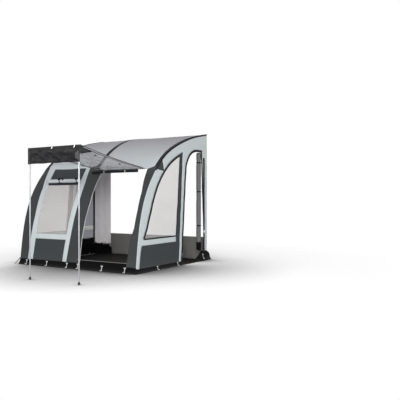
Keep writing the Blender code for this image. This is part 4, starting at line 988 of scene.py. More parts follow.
dark_end = [canopy_sheet(INNER, dark_seam, TRIM_END), canopy_sheet(FULL, TRIM_END, OVER_BAR),
            canopy_sheet(FULL, OVER_BAR, CANOPY_END, step=0.003)]
settle(thicken(joined("canopy_dark_end", dark_end)), VALANCE_CLOTH, ["canopy_end"],
       "canopy")
clear = canopy_sheet(INNER, CANOPY_HEAD - LAP, lambda s: dark_seam(s, LAP), -SHEET, name="canopy_film")
settle(thicken(clear), CANOPY_FILM, ["canopy_window"],
       "canopy")
# The trim is pale cloth, lighter than the bay's light trim: painted light on the canopy's shaded underside.
strips = [canopy_sheet((0.0, TRIM_SHARE), CANOPY_HEAD, TRIM_END + LAP),
          canopy_sheet((1 - TRIM_SHARE, 1.0), CANOPY_HEAD, TRIM_END + LAP), canopy_sheet(FULL, 0.0, CANOPY_HEAD)]
settle(thicken(joined("canopy_light_trim", strips)), PALE_CLOTH, ["canopy_trim"],
       "canopy")
lift = (BINDING_THICK - SHEET) / 2
strips = [canopy_sheet((place - BINDING / 2, place + BINDING / 2), low, high, lift, 0.02)
          for place, low, high in ((0.004, BINDING_START, BINDING_END), (TRIM_SHARE, CANOPY_HEAD, DARK_START),
                                   (1 - TRIM_SHARE, CANOPY_HEAD, DARK_START), (0.996, BINDING_START, BINDING_END))]
strips.append(canopy_sheet((0.06, 0.94), 0.002, 0.014, lift, 0.02))
settle(thicken(joined("canopy_bindings", strips), BINDING_THICK), TAPE_CLOTH, ["canopy_trim"],
       "canopy")
print("canopy", round(CANOPY_LENGTH, 3), "m long")

# %% [markdown]
# ## Valance
# A dark strip hangs from the bar on a sleeve of its own and keeps plumb when the canopy is raised or
# lowered. It is the loosest cloth of all, so creases run slantwise across it. They are ridges, made by
# folding a smooth random wave at zero, and the wave is stretched along the slant.

# %% Hang the valance
SLEEVE_START, SLEEVE_END = math.radians(10), math.radians(90)
VALANCE_DROP, VALANCE_REACH = 0.225, 0.015
SLANT = math.radians(24)
END_WRAP = 0.016

share = np.linspace(-END_WRAP, 1.0 + END_WRAP, 170)[None, :]
across = CANOPY_WIDTH * share
turns = np.linspace(SLEEVE_START, SLEEVE_END, 9)[:, None]
around = spread(END_LEFT + across, BAR_Y - SLEEVE_RADIUS * np.sin(turns), BAR_Z + SLEEVE_RADIUS * np.cos(turns))
drop = np.linspace(0.004, VALANCE_DROP, 44)[:, None]
square_to_slant = drop * math.cos(SLANT) - across * math.sin(SLANT)
along_slant = drop * math.sin(SLANT) + across * math.cos(SLANT)
crease = np.clip(1 - np.abs(waves(square_to_slant, along_slant * 0.22, 0.21, 53)) * 1.7, 0.0, 1.0)
small_crease = 1 - np.abs(waves(square_to_slant, along_slant * 0.25, 0.07, 54))
wide_fold = 0.5 - 0.5 * np.cos(2 * np.pi * (3.5 * share + 0.9 * drop / VALANCE_DROP))
held = ease(0.0, 0.09, drop) * ease(0.0, 0.06, np.minimum(share, 1 - share) + END_WRAP)
strength = 0.6 + 0.4 * waves(across, drop, 0.35, 55)
relief = (0.030 * crease * strength + 0.006 * small_crease + 0.008 * wide_fold) * held
reach = SLEEVE_RADIUS + (VALANCE_REACH - SLEEVE_RADIUS) * np.minimum(drop / BAR_RADIUS, 1.0)
wavy_hem = 0.004 * wide_fold * ease(0.5, 1.0, drop / VALANCE_DROP)
hanging = spread(END_LEFT + across, BAR_Y - reach - relief, BAR_Z - drop + wavy_hem)
flat = spread(across, np.concatenate([turns * SLEEVE_RADIUS - 0.03, drop]))
valance = mesh_from_grid("hanging_valance", np.concatenate([around, hanging]), flat, (0.0, -1.0, 0.0))
settle(thicken(valance), VALANCE_CLOTH, ["canopy_valance"],
       "valance")
print("valance hung")

# %% [markdown]
# ## Rolls
# The window blind, the fly screen and the right side door are rolled up and tied. A roll is not a solid bar:
# it is one long sheet wound in a spiral, and its ends show the turns. The spiral is laid from its real
# length, so the number of turns follows from the radius.

# %% Wind the rolls
ROLL_CORE, ROLL_SHEET = 0.005, 0.0006
DOOR_ROLL_RISE = 0.045
ROLLS = (("rolled_blind", "blind_roll", LIGHT_CLOTH, 0.92, (0.40, 0.94), 62, "bay_dark_high"),
         ("rolled_screen", "screen_roll", MESH_CLOTH, 1.30, (0.281, 0.75), 63, "cover_centre"),
         ("rolled_door", "rolled_door_right", GREY_CLOTH, 0.80, (0.25, 0.6, 0.9, 1.0), 64, "wall_frame_right"))


def line_of_roll(node):
    """The ends and the radius of a roll, from its solid's box. The door's roll stands taller than its solid."""
    low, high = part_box(node)
    start, end = (low + high) / 2, (low + high) / 2
    if node == "rolled_door_right":
        start.z, end.z = low.z, high.z + DOOR_ROLL_RISE
        return start, end, (high.x - low.x) / 2
    start.x, end.x = low.x, high.x
    return start, end, (high.z - low.z) / 2


def roll(name, start, end, radius, cloth_length, pinches, seed):
    """A sheet wound between two points, drawn in where ties hold it."""
    along = (end - start).normalized()
    side = along.cross(Vector((0.0, 0.0, 1.0)))
    side = side.normalized() if side.length > 0.1 else Vector((1.0, 0.0, 0.0))
    up = side.cross(along)
    turns = cloth_length / (math.pi * (radius + ROLL_CORE))
    angle = np.linspace(0.0, 2 * math.pi * turns, max(int(turns * 22), 24))[None, :]
    wide = (end - start).length
    run = np.linspace(0.0, wide, count_of(wide, 0.03, 4))[:, None]
    drawn = 1 - 0.14 * sum(np.exp(-((run - place * wide) / 0.028) ** 2) for place in pinches)
    loose = 1 + 0.05 * waves(run, angle * 0.05, 0.3, seed) * (angle / angle[0, -1])
    size = (ROLL_CORE + (radius - ROLL_CORE) * angle / angle[0, -1]) * drawn * np.minimum(loose, 1.0)
    ragged = 0.006 * np.sin(angle * 0.7) * np.where(run < wide / 2, 1.0, -1.0) * (np.abs(run / wide - 0.5) * 2) ** 8
    places = (np.array(start) + np.array(along) * (run + ragged)[..., None]
              + np.array(side) * (size * np.cos(angle))[..., None] + np.array(up) * (size * np.sin(angle))[..., None])
    obj = mesh_from_grid(name, places, spread(run, angle * radius * 0.5))
    return thicken(obj, ROLL_SHEET, 0.0), (wide, cloth_length)


for name, node, material, cloth_length, pinches, seed, rests_on in ROLLS:
    obj, flat = roll(name, *line_of_roll(node), cloth_length, pinches, seed)
    settle(obj, material, [node])
obj.data.materials.append(BLACK_VINYL)
for face in obj.data.polygons:
    face.material_index = int(face.center.z < door_low.z)
print("rolls:", len(ROLLS))

# %% [markdown]
# ## Skirts
# Black vinyl skirts lap over the walls' feet and spread on the ground, where pegs hold them. Vinyl is stiff,
# so it waves in long shallow bends. One strip goes round the foot from the left rear corner to the right one,
# and its line is a short table, because its height and its way outwards change from place to place.

# %% Skirts round the foot
FLARE, OFF_GROUND = 0.034, 0.0012
WALL_OUT = HALF_WIDTH + 0.0024


def front_line(height):
    """How far forward the skin stands at a height."""
    return float(np.interp(height, arch_z[:300], arch_y[:300]))


corner_y = front_line(0.05) - 0.003
right_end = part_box("door_binding_right")[0].y
hem_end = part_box("skirt_rear_right")[0].y - 0.0003
# Each point of the skirt's line: its place, the way outwards, and how high the skirt stands there.
skirt_line = np.array([
    (-WALL_OUT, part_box("skirt_rear_left")[0].y, -1.0, 0.0, 0.066), (-WALL_OUT, right_end, -1.0, 0.0, 0.066),
    (-WALL_OUT, corner_y + 0.03, -1.0, 0.0, 0.070), (-WALL_OUT, corner_y, -1.0, -1.0, 0.108),
    (-WALL_OUT + 0.03, corner_y, 0.0, -1.0, 0.108), (0.0, corner_y, 0.0, -1.0, 0.108),
    (WALL_OUT - 0.03, corner_y, 0.0, -1.0, 0.100), (WALL_OUT, corner_y, 1.0, -1.0, 0.092),
    (WALL_OUT, corner_y + 0.03, 1.0, 0.0, 0.075), (WALL_OUT, right_end, 1.0, 0.0, 0.066),
    (WALL_OUT, right_end + 0.03, 1.0, 0.0, 0.010), (WALL_OUT, hem_end, 1.0, 0.0, 0.010)])
length = lengths_along(skirt_line[:, :2])
at = np.linspace(0.0, length[-1], int(length[-1] / 0.02) + 1)
x, y, out_x, out_y, top = (np.interp(at, length, values)[:, None] for values in skirt_line.T)
share = np.linspace(0.0, 1.0, 9)[None, :]
ripple = (0.006 * waves(at, at * 0, 0.35, 71) + 0.003 * waves(at, at * 0, 0.11, 72))[:, None]
out = (FLARE - 0.008 + ripple) * (1 - share) ** 2
grid = spread(x + out_x * out, y + out_y * out, OFF_GROUND + (top - OFF_GROUND) * share)
mud = thicken(mesh_from_grid("mud_flap", grid, spread(at[:, None], share * top)), offset=0.0)
settle(mud, BLACK_VINYL, ["mud_skirt"])
print("skirt", round(float(length[-1]), 2), "m long")

# %% [markdown]
# At the rear corners the skirt is pulled inwards and bunches up into crumpled folds. A sheet with ridged
# noise gives those sharp folds, which plain waves do not.


# %% Bunch the rear corners
def bunched(name, side):
    low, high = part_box(f"skirt_rear_{name}")
    back = np.linspace(low.y, high.y, 60)[:, None]
    share = np.linspace(0.0, 1.0, 22)[None, :]
    part = (back - low.y) / (high.y - low.y)
    top = 0.200 * np.interp(part, (0.0, 0.20, 0.36, 0.52, 0.77, 0.95, 1.0), (0.30, 0.62, 1.0, 0.95, 0.90, 0.62, 0.25))
    ridges = 0.014 * (1 - np.abs(waves(back * 1.6 + share * 0.12, share * 0.25, 0.20, 81))) * (1 - share * 0.6)
    out = 0.030 * (1 - share) ** 2 + ridges * ease(0.0, 0.3, part) - 0.006
    grid = spread(side * (WALL_OUT + np.clip(out, 0.0, 0.038)), back, OFF_GROUND + top * share)
    return thicken(mesh_from_grid(f"bunched_skirt_{name}", grid, spread(back, share * top), (side, 0.0, 0.0)))


for name, side in WALL_SIDES:
    settle(bunched(name, side), BLACK_VINYL, [f"skirt_rear_{name}"])

# %% [markdown]
# ## Sill, groundsheet and draught skirt
# The sill stands across the front doorway, the groundsheet lies flat with a few packing folds, and the
# draught skirt hangs low across the open rear.

# %% Sheets inside
FOLDS_ACROSS, FOLDS_ALONG = (-0.86, -0.43, 0.0, 0.43, 0.86), (-0.5, 0.1, 0.7)


def laid_sheet(name, node, relief, axis, step, outward):
    """A flat sheet in the middle of a solid's box, across the given axis, with a relief of its own."""
    low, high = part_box(node)
    i, j = (k for k in range(3) if k != axis)
    first, second = (np.linspace(low[k], high[k], count_of(high[k] - low[k], step)) for k in (i, j))
    a, b = np.meshgrid(first, second)
    places = np.zeros((*a.shape, 3))
    places[..., i], places[..., j] = a, b
    places[..., axis] = (low[axis] + high[axis]) / 2 + relief(a, b)
    obj = mesh_from_grid(name, places, spread(a, b), outward)
    return thicken(obj, offset=0.0), (float(np.ptp(first)), float(np.ptp(second)))


def packing_folds(a, b):
    lines = (sum(np.exp(-((a - place) / 0.012) ** 2) for place in FOLDS_ACROSS)
             + sum(np.exp(-((b - place) / 0.012) ** 2) for place in FOLDS_ALONG))
    return 0.0022 * lines + 0.0008 * (waves(a, b, 0.5, 91) + 1)


def draught_folds(a, b):
    ripple = 0.010 * waves(a * 1.6, b * 0.3, 0.5, 92) + 0.003 * waves(a, b, 0.14, 93) - 0.012
    return ripple * ease(0.0, 0.44, 0.44 - b)


obj, flat = laid_sheet("floor_sheet", "groundsheet", packing_folds, 2, 0.012, (0.0, 0.0, 1.0))
settle(obj, FLOOR_VINYL, ["groundsheet"])
obj, flat = laid_sheet("draught_flap", "draught_skirt", draught_folds, 1, 0.02, (0.0, -1.0, 0.0))
settle(obj, DRAUGHT_CLOTH, ["draught_skirt"])
low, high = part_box("door_sill")
sill_top = float(np.interp(high.z, arch_z[:300], arch_s[:300]))
obj, flat = panel("sill_sheet", straight_edge(low.x), straight_edge(high.x), 0.003, sill_top, lift=-0.004)
settle(obj, BLACK_VINYL, ["door_sill"])
print("floor, draught skirt and sill")

# %% [markdown]
# ## Straps, rods and turned fittings
# Webbing, piping, wire pegs and toggles are all one outline drawn along a line or turned round one. Curve
# objects could do it, but a grid of points keeps the same UV map in metres as the sheets have, so the weave
# is as fine on a strap as on a wall.


# %% Helpers for straps and fittings
def round_section(radius, sides=8):
    """A circle's corners, for a rod."""
    turn = np.arange(sides) * 2 * math.pi / sides
    return radius * spread(np.cos(turn), np.sin(turn))


def flat_section(width, thickness):
    """A strap's corners, a little rounded."""
    a, b, c = width / 2, thickness / 2, min(width, thickness) / 4
    half = [(a, -b + c), (a, b - c), (a - c, b), (c - a, b)]
    return np.array(half + [(-x, -y) for x, y in half])


def sweep(name, line, section, across=(1.0, 0.0, 0.0)):
    """A section drawn along a line of points; its first axis stays as near as it can to `across`."""
    line, across = np.array(line, float), np.array(across, float)
    ahead = np.gradient(line, axis=0)
    ahead /= np.linalg.norm(ahead, axis=1, keepdims=True)
    side = across - ahead * (ahead @ across)[:, None]
    side /= np.maximum(np.linalg.norm(side, axis=1, keepdims=True), 1e-6)
    square = np.cross(ahead, side)
    grid = line[:, None] + side[:, None] * section[None, :, :1] + square[:, None] * section[None, :, 1:]
    return closed_up(mesh_from_grid(name, grid, spread(section[None, :, 0], lengths_along(line)[:, None]), closed=True))


def turned(name, start, along, profile, sides=12):
    """A piece turned round a line; each row of the profile is a distance along it and a radius."""
    start, along = np.array(start, float), np.array(Vector(along).normalized())
    first = np.cross(along, (0.0, 0.0, 1.0) if abs(along[2]) < 0.9 else (1.0, 0.0, 0.0))
    first /= np.linalg.norm(first)
    second = np.cross(along, first)
    turn = np.arange(sides)[None, :] * 2 * math.pi / sides
    at, radius = np.array(profile)[:, 0:1], np.array(profile)[:, 1:2]
    grid = (start + along * at[..., None] + first * (radius * np.cos(turn))[..., None]
            + second * (radius * np.sin(turn))[..., None])
    return closed_up(mesh_from_grid(name, grid, spread(turn * 0.01, at), closed=True))


def ring(centre, axis, radius, width, thickness):
    """A strap that goes once round a roll and laps over its own start."""
    axis = Vector(axis).normalized()
    first = axis.orthogonal().normalized()
    second = axis.cross(first)
    line = [Vector(centre) + (first * math.cos(turn) + second * math.sin(turn)) * (radius + 0.0004 * k / 38)
            for k, turn in enumerate(np.linspace(0.0, 2.08 * math.pi, 39))]
    return sweep("tie", line, flat_section(width, thickness), axis)

# %% [markdown]
# ## The hanging flap
# At the left rear corner a loose flap hangs inwards from the wall. It is unfastened, so it falls in
# soft upright folds which open towards its crumpled, notched lower edge. Black cloth lies bunched at its foot.

# %% Hang the flap
FLAP_WIDTH = 0.34
FLAP_START = Vector((-HALF_WIDTH + 0.0035, RAIL_Y - 0.270, 0.0))
FLAP_END = Vector((-1.050, RAIL_Y - 0.040, 0.0))
FLAP_FORWARD = Vector((FLAP_END.y - FLAP_START.y, FLAP_START.x - FLAP_END.x, 0.0)).normalized()


def flap_sheet(name, share, ahead, z, flat):
    """A sheet that stands along the flap's line, moved ahead of it by folds."""
    x, y = (FLAP_START[k] + (FLAP_END[k] - FLAP_START[k]) * share + FLAP_FORWARD[k] * ahead for k in (0, 1))
    return thicken(mesh_from_grid(name, spread(x, y, z), flat, tuple(FLAP_FORWARD)))


low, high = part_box("rear_flap_left")
share = np.linspace(0.0, 1.0, 70)[None, :]
z = np.linspace(low.z, high.z, 150)[:, None]
fall = (high.z - z) / (high.z - low.z)
wave = 0.5 - 0.5 * np.cos(2 * np.pi * (2.3 * share ** 1.3 + 0.16 * waves(fall, share, 0.8, 95)))
depth = 0.007 * wave * (1 + fall) / 2 + 0.003 * (waves(share * 0.6, z, 0.25, 96) + 1) * fall
crumple = ease(0.80, 1.0, fall) * 0.012 * (1 - np.abs(waves(share * FLAP_WIDTH, z, 0.05, 97)))
notches = np.clip(1.6 * waves(share * FLAP_WIDTH, z * 0, 0.045, 98) - 0.4, 0.0, 1.0)
hem = ease(0.93, 1.0, fall) * (0.052 * notches + 0.012 * (1 + waves(share * FLAP_WIDTH, z * 0, 0.02, 94)))
settle(flap_sheet("hanging_flap", share, depth + crumple, z + hem, spread(share * 0.36, z)), FLAP_CLOTH,
       ["rear_flap_left"])

share = np.linspace(0.0, 1.06, 70)[None, :]
rise = np.linspace(0.0, 1.0, 30)[:, None]
run = share * FLAP_WIDTH
top = 0.215 + 0.030 * np.clip(waves(run, 0.0, 0.06, 101), -1.0, 1.0) - 0.045 * ease(0.7, 1.05, share)
ahead = 0.020 + 0.026 * (1 - rise) ** 2 + 0.012 * np.abs(waves(run, rise * 0.2, 0.06, 102))
settle(flap_sheet("flap_foot", share, ahead, 0.005 + (top - 0.005) * rise, spread(run, rise * 0.23)), FLOOR_VINYL, ())
line = [(FLAP_START.x + 0.004, FLAP_START.y - 0.026, z) for z in np.linspace(0.20, 1.98, 60)]
settle(sweep("flap_tape", line, flat_section(0.052, 0.0016), (0.0, 1.0, 0.0)), TAPE_CLOTH, ())
print("flap, its foot and its tape")

# %% [markdown]
# ## Tapes on the edges
# A black tape is folded over every edge of the roof, so it also shows on the side walls, and a round piping
# fills the fold. Flat zip tapes run round the side windows. All of these follow lines that are already known.

# %% Edge tapes and piping
EDGE_TAPE, PIPING = 0.022, 0.0060
for name, side, eave in (("left", -1, LEFT_EAVE), ("right", 1, RIGHT_EAVE)):
    up = np.linspace(eave - 0.03, ARCH_LENGTH - 0.003, 150)[:, None]
    out = np.linspace(ON_TOP, -EDGE_TAPE, 4)[None, :]
    grid = skin(side * (HALF_WIDTH + 0.0012), up, out)
    settle(thicken(mesh_from_grid(f"edge_tape_{name}", grid, spread(out, up), (side, 0.0, 0.0))), TAPE_CLOTH, ())
    line = skin(side * (HALF_WIDTH - 0.001), up[:, 0], 0.002)
    settle(sweep(f"edge_piping_{name}", line, round_section(PIPING)), TAPE_CLOTH)
    line = wall_line("wall_film", name, side, 0.002, 0.0004)
    settle(sweep(f"window_tape_{name}", line, flat_section(0.0014, 0.024)), TAPE_CLOTH)
# The grey piping along the sill's top edge is a painted highlight: it stands in for the light caught by that edge.
SILL_TOP = 0.1578
line = [(x, front_line(SILL_TOP) - 0.001, SILL_TOP) for x in np.linspace(0.062, 1.115, 90)]
settle(sweep("sill_hem", line, round_section(0.0065), (0.0, 1.0, 0.0)), GREY_CLOTH)
print("edges bound")

# %% [markdown]
# ## Rear pads
# Foam pads run down the rear edge of each side wall. A pad is a long cushion: its faces
# bulge and its edges are drawn in by the piping. A square outline with softened corners, swept upwards and
# drawn in at both ends, gives that shape in one mesh.


# %% Fill the pads
def pad(name):
    low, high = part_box(f"rear_pad_{name}")
    middle, half = (low + high) / 2, (high - low) / 2
    up = np.linspace(low.z, high.z, 160)[:, None]
    turn = np.linspace(0.0, 2 * math.pi, 41)[None, :-1]
    across, deep = (np.sign(way) * np.abs(way) ** 0.6 for way in (np.cos(turn), np.sin(turn)))
    size = fullness(up, 0.02) * (1 - 0.05 * (0.5 + 0.5 * waves(up, turn * 0.05, 0.22, 99)))
    grid = spread(middle.x + half.x * across * size, middle.y + half.y * deep * size, up)
    return closed_up(mesh_from_grid(f"soft_pad_{name}", grid, spread(turn * 0.03, up), closed=True))


for name in ("left", "right"):
    settle(pad(name), PAD_CLOTH, [f"rear_pad_{name}"])

# %% [markdown]
# ## Growing what repeats
# Stitches, zip teeth and pegs are one small shape, many times. Geometry Nodes copy it along a path or onto
# points, so a spacing is one number. Each tree has named inputs, and a helper runs it on a seed mesh and keeps
# the result as a plain mesh, because instances are lost in an export.


# %% Helpers for Geometry Nodes
def growth(name, inputs):
    """An empty Geometry Nodes tree with named inputs."""
    return group_of(name, [("Geometry", "Geometry", None), *inputs], ["Geometry"], "Geometry", "Geometry")


def finish_tree(tree, end, geometry, material):
    """The last two nodes of every tree: real geometry, with its material."""
    real = add(tree, "GeometryNodeRealizeInstances", Geometry=geometry)
    fill(tree, end, {0: add(tree, "GeometryNodeSetMaterial", Geometry=real, Material=material)})


def grown(name, tree, seed_mesh, **values):
    """Run a tree on a seed mesh and keep the result as a plain mesh."""
    seed = linked(name + "_seed", seed_mesh)
    modifier = seed.modifiers.new("grow", "NODES")
    modifier.node_group = tree
    for item in tree.interface.items_tree:
        if item.in_out == "INPUT" and item.name in values:
            modifier[item.identifier] = values[item.name]
    graph = bpy.context.evaluated_depsgraph_get()
    mesh = bpy.data.meshes.new_from_object(seed.evaluated_get(graph), depsgraph=graph)
    bpy.data.objects.remove(seed)
    mesh.name = name
    return linked(name, mesh)


def grain_rows(name, lines, material, **values):
    """Grains in rows along lines of points."""
    corners, edges = [], []
    for line in lines:
        edges += [(len(corners) + k, len(corners) + k + 1) for k in range(len(line) - 1)]
        corners += [tuple(map(float, place)) for place in line]
    mesh = bpy.data.meshes.new(name)
    mesh.from_pydata(corners, edges, [])
    return grown(name, grains, mesh, Material=material, **values)

# %% [markdown]
# A stitch is a short bulge of thread. The first tree cuts a path into even steps, sets a small ball on each,
# stretches it along the path and turns its flat side to the cloth. Placing thousands of stitches by hand, or
# in a loop of objects, would be far slower.

# %% A tree that sets grains along a path
grains, given, end = growth("grains_along_a_path", [
    ("Spacing", "Float", 0.009), ("Length", "Float", 0.0065), ("Width", "Float", 0.0014), ("Height", "Float", 0.0010),
    ("Outward", "Vector", (0.0, -0.7, 0.7)), ("Material", "Material", None)])
lines = add(grains, "GeometryNodeMeshToCurve", Mesh=given["Geometry"])
even = add(grains, "GeometryNodeResampleCurve", {"mode": "LENGTH"}, Curve=lines, Length=given["Spacing"])
ball = add(grains, "GeometryNodeMeshIcoSphere", Radius=0.5, Subdivisions=1)
size = add(grains, "CombineXYZ", X=given["Length"], Y=given["Width"], Z=given["Height"])
grain = add(grains, "GeometryNodeTransform", Geometry=ball, Scale=size)
along = add(grains, "FunctionNodeAlignRotationToVector", {"axis": "X"}, Vector=add(grains, "GeometryNodeInputTangent"))
upright = add(grains, "FunctionNodeAlignRotationToVector", {"axis": "Z", "pivot_axis": "X"}, Rotation=along,
              Vector=given["Outward"])
placed = add(grains, "GeometryNodeInstanceOnPoints", Points=even, Instance=grain, Rotation=upright)
finish_tree(grains, end, placed, given["Material"])
print(grains.name, "has", len(grains.nodes), "nodes")

# %% [markdown]
# ## Stitching
# Every seam is sewn with a row of stitches a few millimetres inside the edge of the cloth on top. The rows
# follow the same edge tables that cut the panels, and the side walls' rows follow their outlines.

# %% Sew the seams
INSET = 0.005
PROUD = 0.0004
WALL_SEAMS = (("pale", ("wall_trim", "wall_frame"), THREAD), ("dark", ("wall_binding",), DARK_THREAD))


def arch_row(edge, shift, high=LEFT_EAVE, lift=SHEET):
    up = np.linspace(FRONT_SKIRT, high, int((high - FRONT_SKIRT) / 0.02) + 2)
    x = edge(up) + shift
    return skin(x, up, lift + PROUD + slack(x, up))


def cross_row(left, right, up):
    x = np.linspace(float(left(up)), float(right(up)), 60)
    return skin(x, np.full_like(x, up), SHEET + PROUD + slack(x, up))


dark_rows = [arch_row(edge, shift, ARCH_LENGTH - 0.004, ON_TOP) for edge, shift in
             ((band_left, -INSET), (centre_left, INSET), (centre_right, -INSET), (band_right, INSET),
              (outer_left, INSET + 0.004), (outer_right, -INSET - 0.004))]
pale_rows = [arch_row(trim_left, -INSET), arch_row(trim_right, INSET)]
pale_rows += [cross_row(trim_left, trim_right, up) for up in (BAR_LOW + INSET, BAR_HIGH - INSET)]
pale_rows += [cross_row(band_left, centre_left, LEFT_EAVE + up) for up in (INSET, HEAD_STRIP - INSET)]
sewn = [("stitches_dark_front", dark_rows, DARK_THREAD, (0.0, -0.7, 0.7)),
        ("stitches_pale_front", pale_rows, THREAD, (0.0, -0.7, 0.7))]
for name, side in WALL_SIDES:
    for tone, labels, thread in WALL_SEAMS:
        rows = [wall_line(label, name, side, grow - INSET, WALL_IN + lift + PROUD)
                for label, _, _, lift, grow in WALL_PIECES if label in labels]
        sewn.append((f"stitches_{tone}_{name}", rows, thread, (float(side), 0.0, 0.0)))
for name, rows, thread, outward in sewn:
    settle(grain_rows(name, rows, thread, Outward=outward), thread)
rows = [canopy_point(place, np.linspace(0.02, TRIM_END, 90), 0.0005)
        for place in (0.020, TRIM_SHARE - 0.012, 1 - TRIM_SHARE + 0.012, 0.980)]
settle(grain_rows("stitches_canopy", rows, THREAD, Outward=(0.0, 0.0, 1.0)), THREAD, body="canopy")
print("rows of stitches:", len(sewn) + 1)

# %% [markdown]
# ## Zips
# The doorway's zip shows as a pale line on the centre cover's edge. It is a flat tape with small moulded
# teeth across it, which the same tree makes with other sizes.

# %% The front doorway's zip
up = np.linspace(FRONT_SKIRT + 0.01, RIGHT_EAVE - 0.03, 100)
x = centre_right(up) + 0.006
zip_line = skin(x, up, ON_TOP + 0.0006 + slack(x, up))
settle(sweep("zip_tape", zip_line, flat_section(0.011, 0.0009)), ZIP_TAPE, ())
settle(grain_rows("zip_teeth", [zip_line + np.array((0.0, -0.0010, 0.0004))], WHITE_PLASTIC, Spacing=0.0042,
                  Length=0.0026, Width=0.0060, Height=0.0026), WHITE_PLASTIC)

# %% [markdown]
# ## Pegging points
# Along the foot of the skirt, pale straps with two buckles run down to steel pegs. One strap, its buckles and
# its peg are modelled once, facing forward. A second tree stands a copy on each point, turned by the point's
# own "turn" value and shortened by its "rise", where the skirt is lower.

# %% A tree that stands copies on points
standing, given, end = growth("copies_on_points", [("Piece", "Object", None), ("Material", "Material", None)])
model = add(standing, "GeometryNodeObjectInfo", Object=given["Piece"], As_Instance=True).outputs["Geometry"]
turn, rise = (add(standing, "GeometryNodeInputNamedAttribute", {"data_type": "FLOAT"}, Name=label).outputs["Attribute"]
              for label in ("turn", "rise"))
spin = add(standing, "FunctionNodeEulerToRotation", Euler=add(standing, "CombineXYZ", Z=turn))
placed = add(standing, "GeometryNodeInstanceOnPoints", Points=given["Geometry"], Rotation=spin, Instance=model,
             Scale=add(standing, "CombineXYZ", X=1.0, Y=1.0, Z=rise))
finish_tree(standing, end, placed, given["Material"])
print(standing.name, "has", len(standing.nodes), "nodes")

# %% [markdown]
# The points lie round the foot of the walls, each with its turn and its rise. The strap falls in a shallow
# curve from the skirt's edge to the peg, and the peg is wire bent into a hook, so both are swept.

# %% Straps, buckles and pegs
PEG_SPOTS = ([(x, corner_y, 0.0, 0.0, 1.0) for x in (-1.117, -0.617, -0.144, 0.105, 0.625, 1.093)]
             + [(side * WALL_OUT, y, 0.0, side * math.pi / 2, 0.74) for side in (1, -1) for y in (-0.547, 0.065)]
             + [(side * (WALL_OUT + 0.006), 0.95, 0.030, side * math.pi / 2, 1.05) for side in (1, -1)])
PEG_WIRE = round_section(0.0032)
seed = bpy.data.meshes.new("peg_spots")
seed.from_pydata([spot[:3] for spot in PEG_SPOTS], [], [])
for label, column in (("turn", 3), ("rise", 4)):
    seed.attributes.new(label, "FLOAT", "POINT").data.foreach_set("value", [spot[column] for spot in PEG_SPOTS])
strap_line = [(0.0, -0.0060, 0.094), (0.0, -0.0085, 0.072), (0.0, -0.0140, 0.048), (0.0, -0.0220, 0.028),
              (0.0, -0.0310, 0.014), (0.0, -0.0370, 0.010)]
buckles = [sweep("buckle", line, flat_section(0.046, 0.0050)) for line in (
    [(0.0, -0.0075, 0.094), (0.0, -0.0095, 0.080)], [(0.0, -0.0280, 0.022), (0.0, -0.0370, 0.013)])]
peg_line = [(0.0, -0.044, 0.0035), (0.0, -0.045, 0.014), (0.0, -0.043, 0.021), (0.0, -0.038, 0.023),
            (0.0, -0.033, 0.021), (0.0, -0.031, 0.016)]
for name, model, material in (("peg_straps", sweep("strap", strap_line, flat_section(0.017, 0.0020)), WEBBING),
                              ("peg_buckles", joined("buckles", buckles), WHITE_PLASTIC),
                              ("ground_pegs", sweep("peg", peg_line, PEG_WIRE), PEG_STEEL)):
    settle(grown(name, standing, seed, Piece=model, Material=material), material)
    bpy.data.objects.remove(model)
print("pegging points:", len(PEG_SPOTS))

# %% [markdown]
# ## Ties and toggles
# Rolls are held by webbing that goes once round them, and the blind's ties end in black toggles, which are
# turned shapes with a waist. Each roll's ties are joined into one piece, since they are sewn to one sheet.

# %% Ties round the rolls
ALONG_X, ALONG_Z = (1.0, 0.0, 0.0), (0.0, 0.0, 1.0)
TIE = 0.0018
TOGGLE = ((-0.019, 0.0), (-0.019, 0.0055), (-0.016, 0.0070), (0.0, 0.0050), (0.016, 0.0070), (0.019, 0.0055),
          (0.019, 0.0))
BIG_TOGGLE = [(at * 1.10, thick * 2.10) for at, thick in TOGGLE]
(_, y, z), _, radius = line_of_roll("blind_roll")
black = [turned("toggle", (-0.600, y - radius, z + radius * 0.80), (1.0, 0.0, -0.8), BIG_TOGGLE)]
for x in (-0.685, -0.272):
    tail = [(x + 0.004, y - radius * 0.84, z + radius * 0.66), (x + 0.006, y - radius * 1.04, z),
            (x + 0.010, y - radius * 1.02, z - radius * 0.9)]
    black += [ring((x, y, z), ALONG_X, radius * 0.90, 0.016, TIE), sweep("tail", tail, flat_section(0.010, 0.0014)),
              turned("toggle", (x, y - radius, z + radius * 0.86), (1.0, 0.0, 0.5), BIG_TOGGLE)]
settle(joined("blind_ties", black), BLACK_VINYL)
(_, y, z), _, radius = line_of_roll("screen_roll")
pale = []
for x in (0.245, 0.705):
    riser = [(x, y + 0.008, z + radius * 0.86), (x, y + 0.030, z + 0.032), (x, hinge_y - 0.004, hinge_z + 0.002)]
    pale += [ring((x, y, z), ALONG_X, radius * 0.92, 0.022, TIE), sweep("riser", riser, flat_section(0.022, 0.0016))]
settle(joined("screen_ties", pale), WEBBING)
start, end, radius = line_of_roll("rolled_door_right")
black = [ring(start.lerp(end, share), ALONG_Z, radius * 0.90, 0.024, TIE) for share in (0.25, 0.6, 0.9)]
settle(joined("door_ties", black), BLACK_WEBBING)
print("rolls tied")

# %% [markdown]
# ## The right doorway's zip flap
# A black flap is sewn over the long straight part of the side door's zip, and a pale tab holds the rolled
# door back. Both are flat straps that stand a little outside the wall, so they are swept along it.

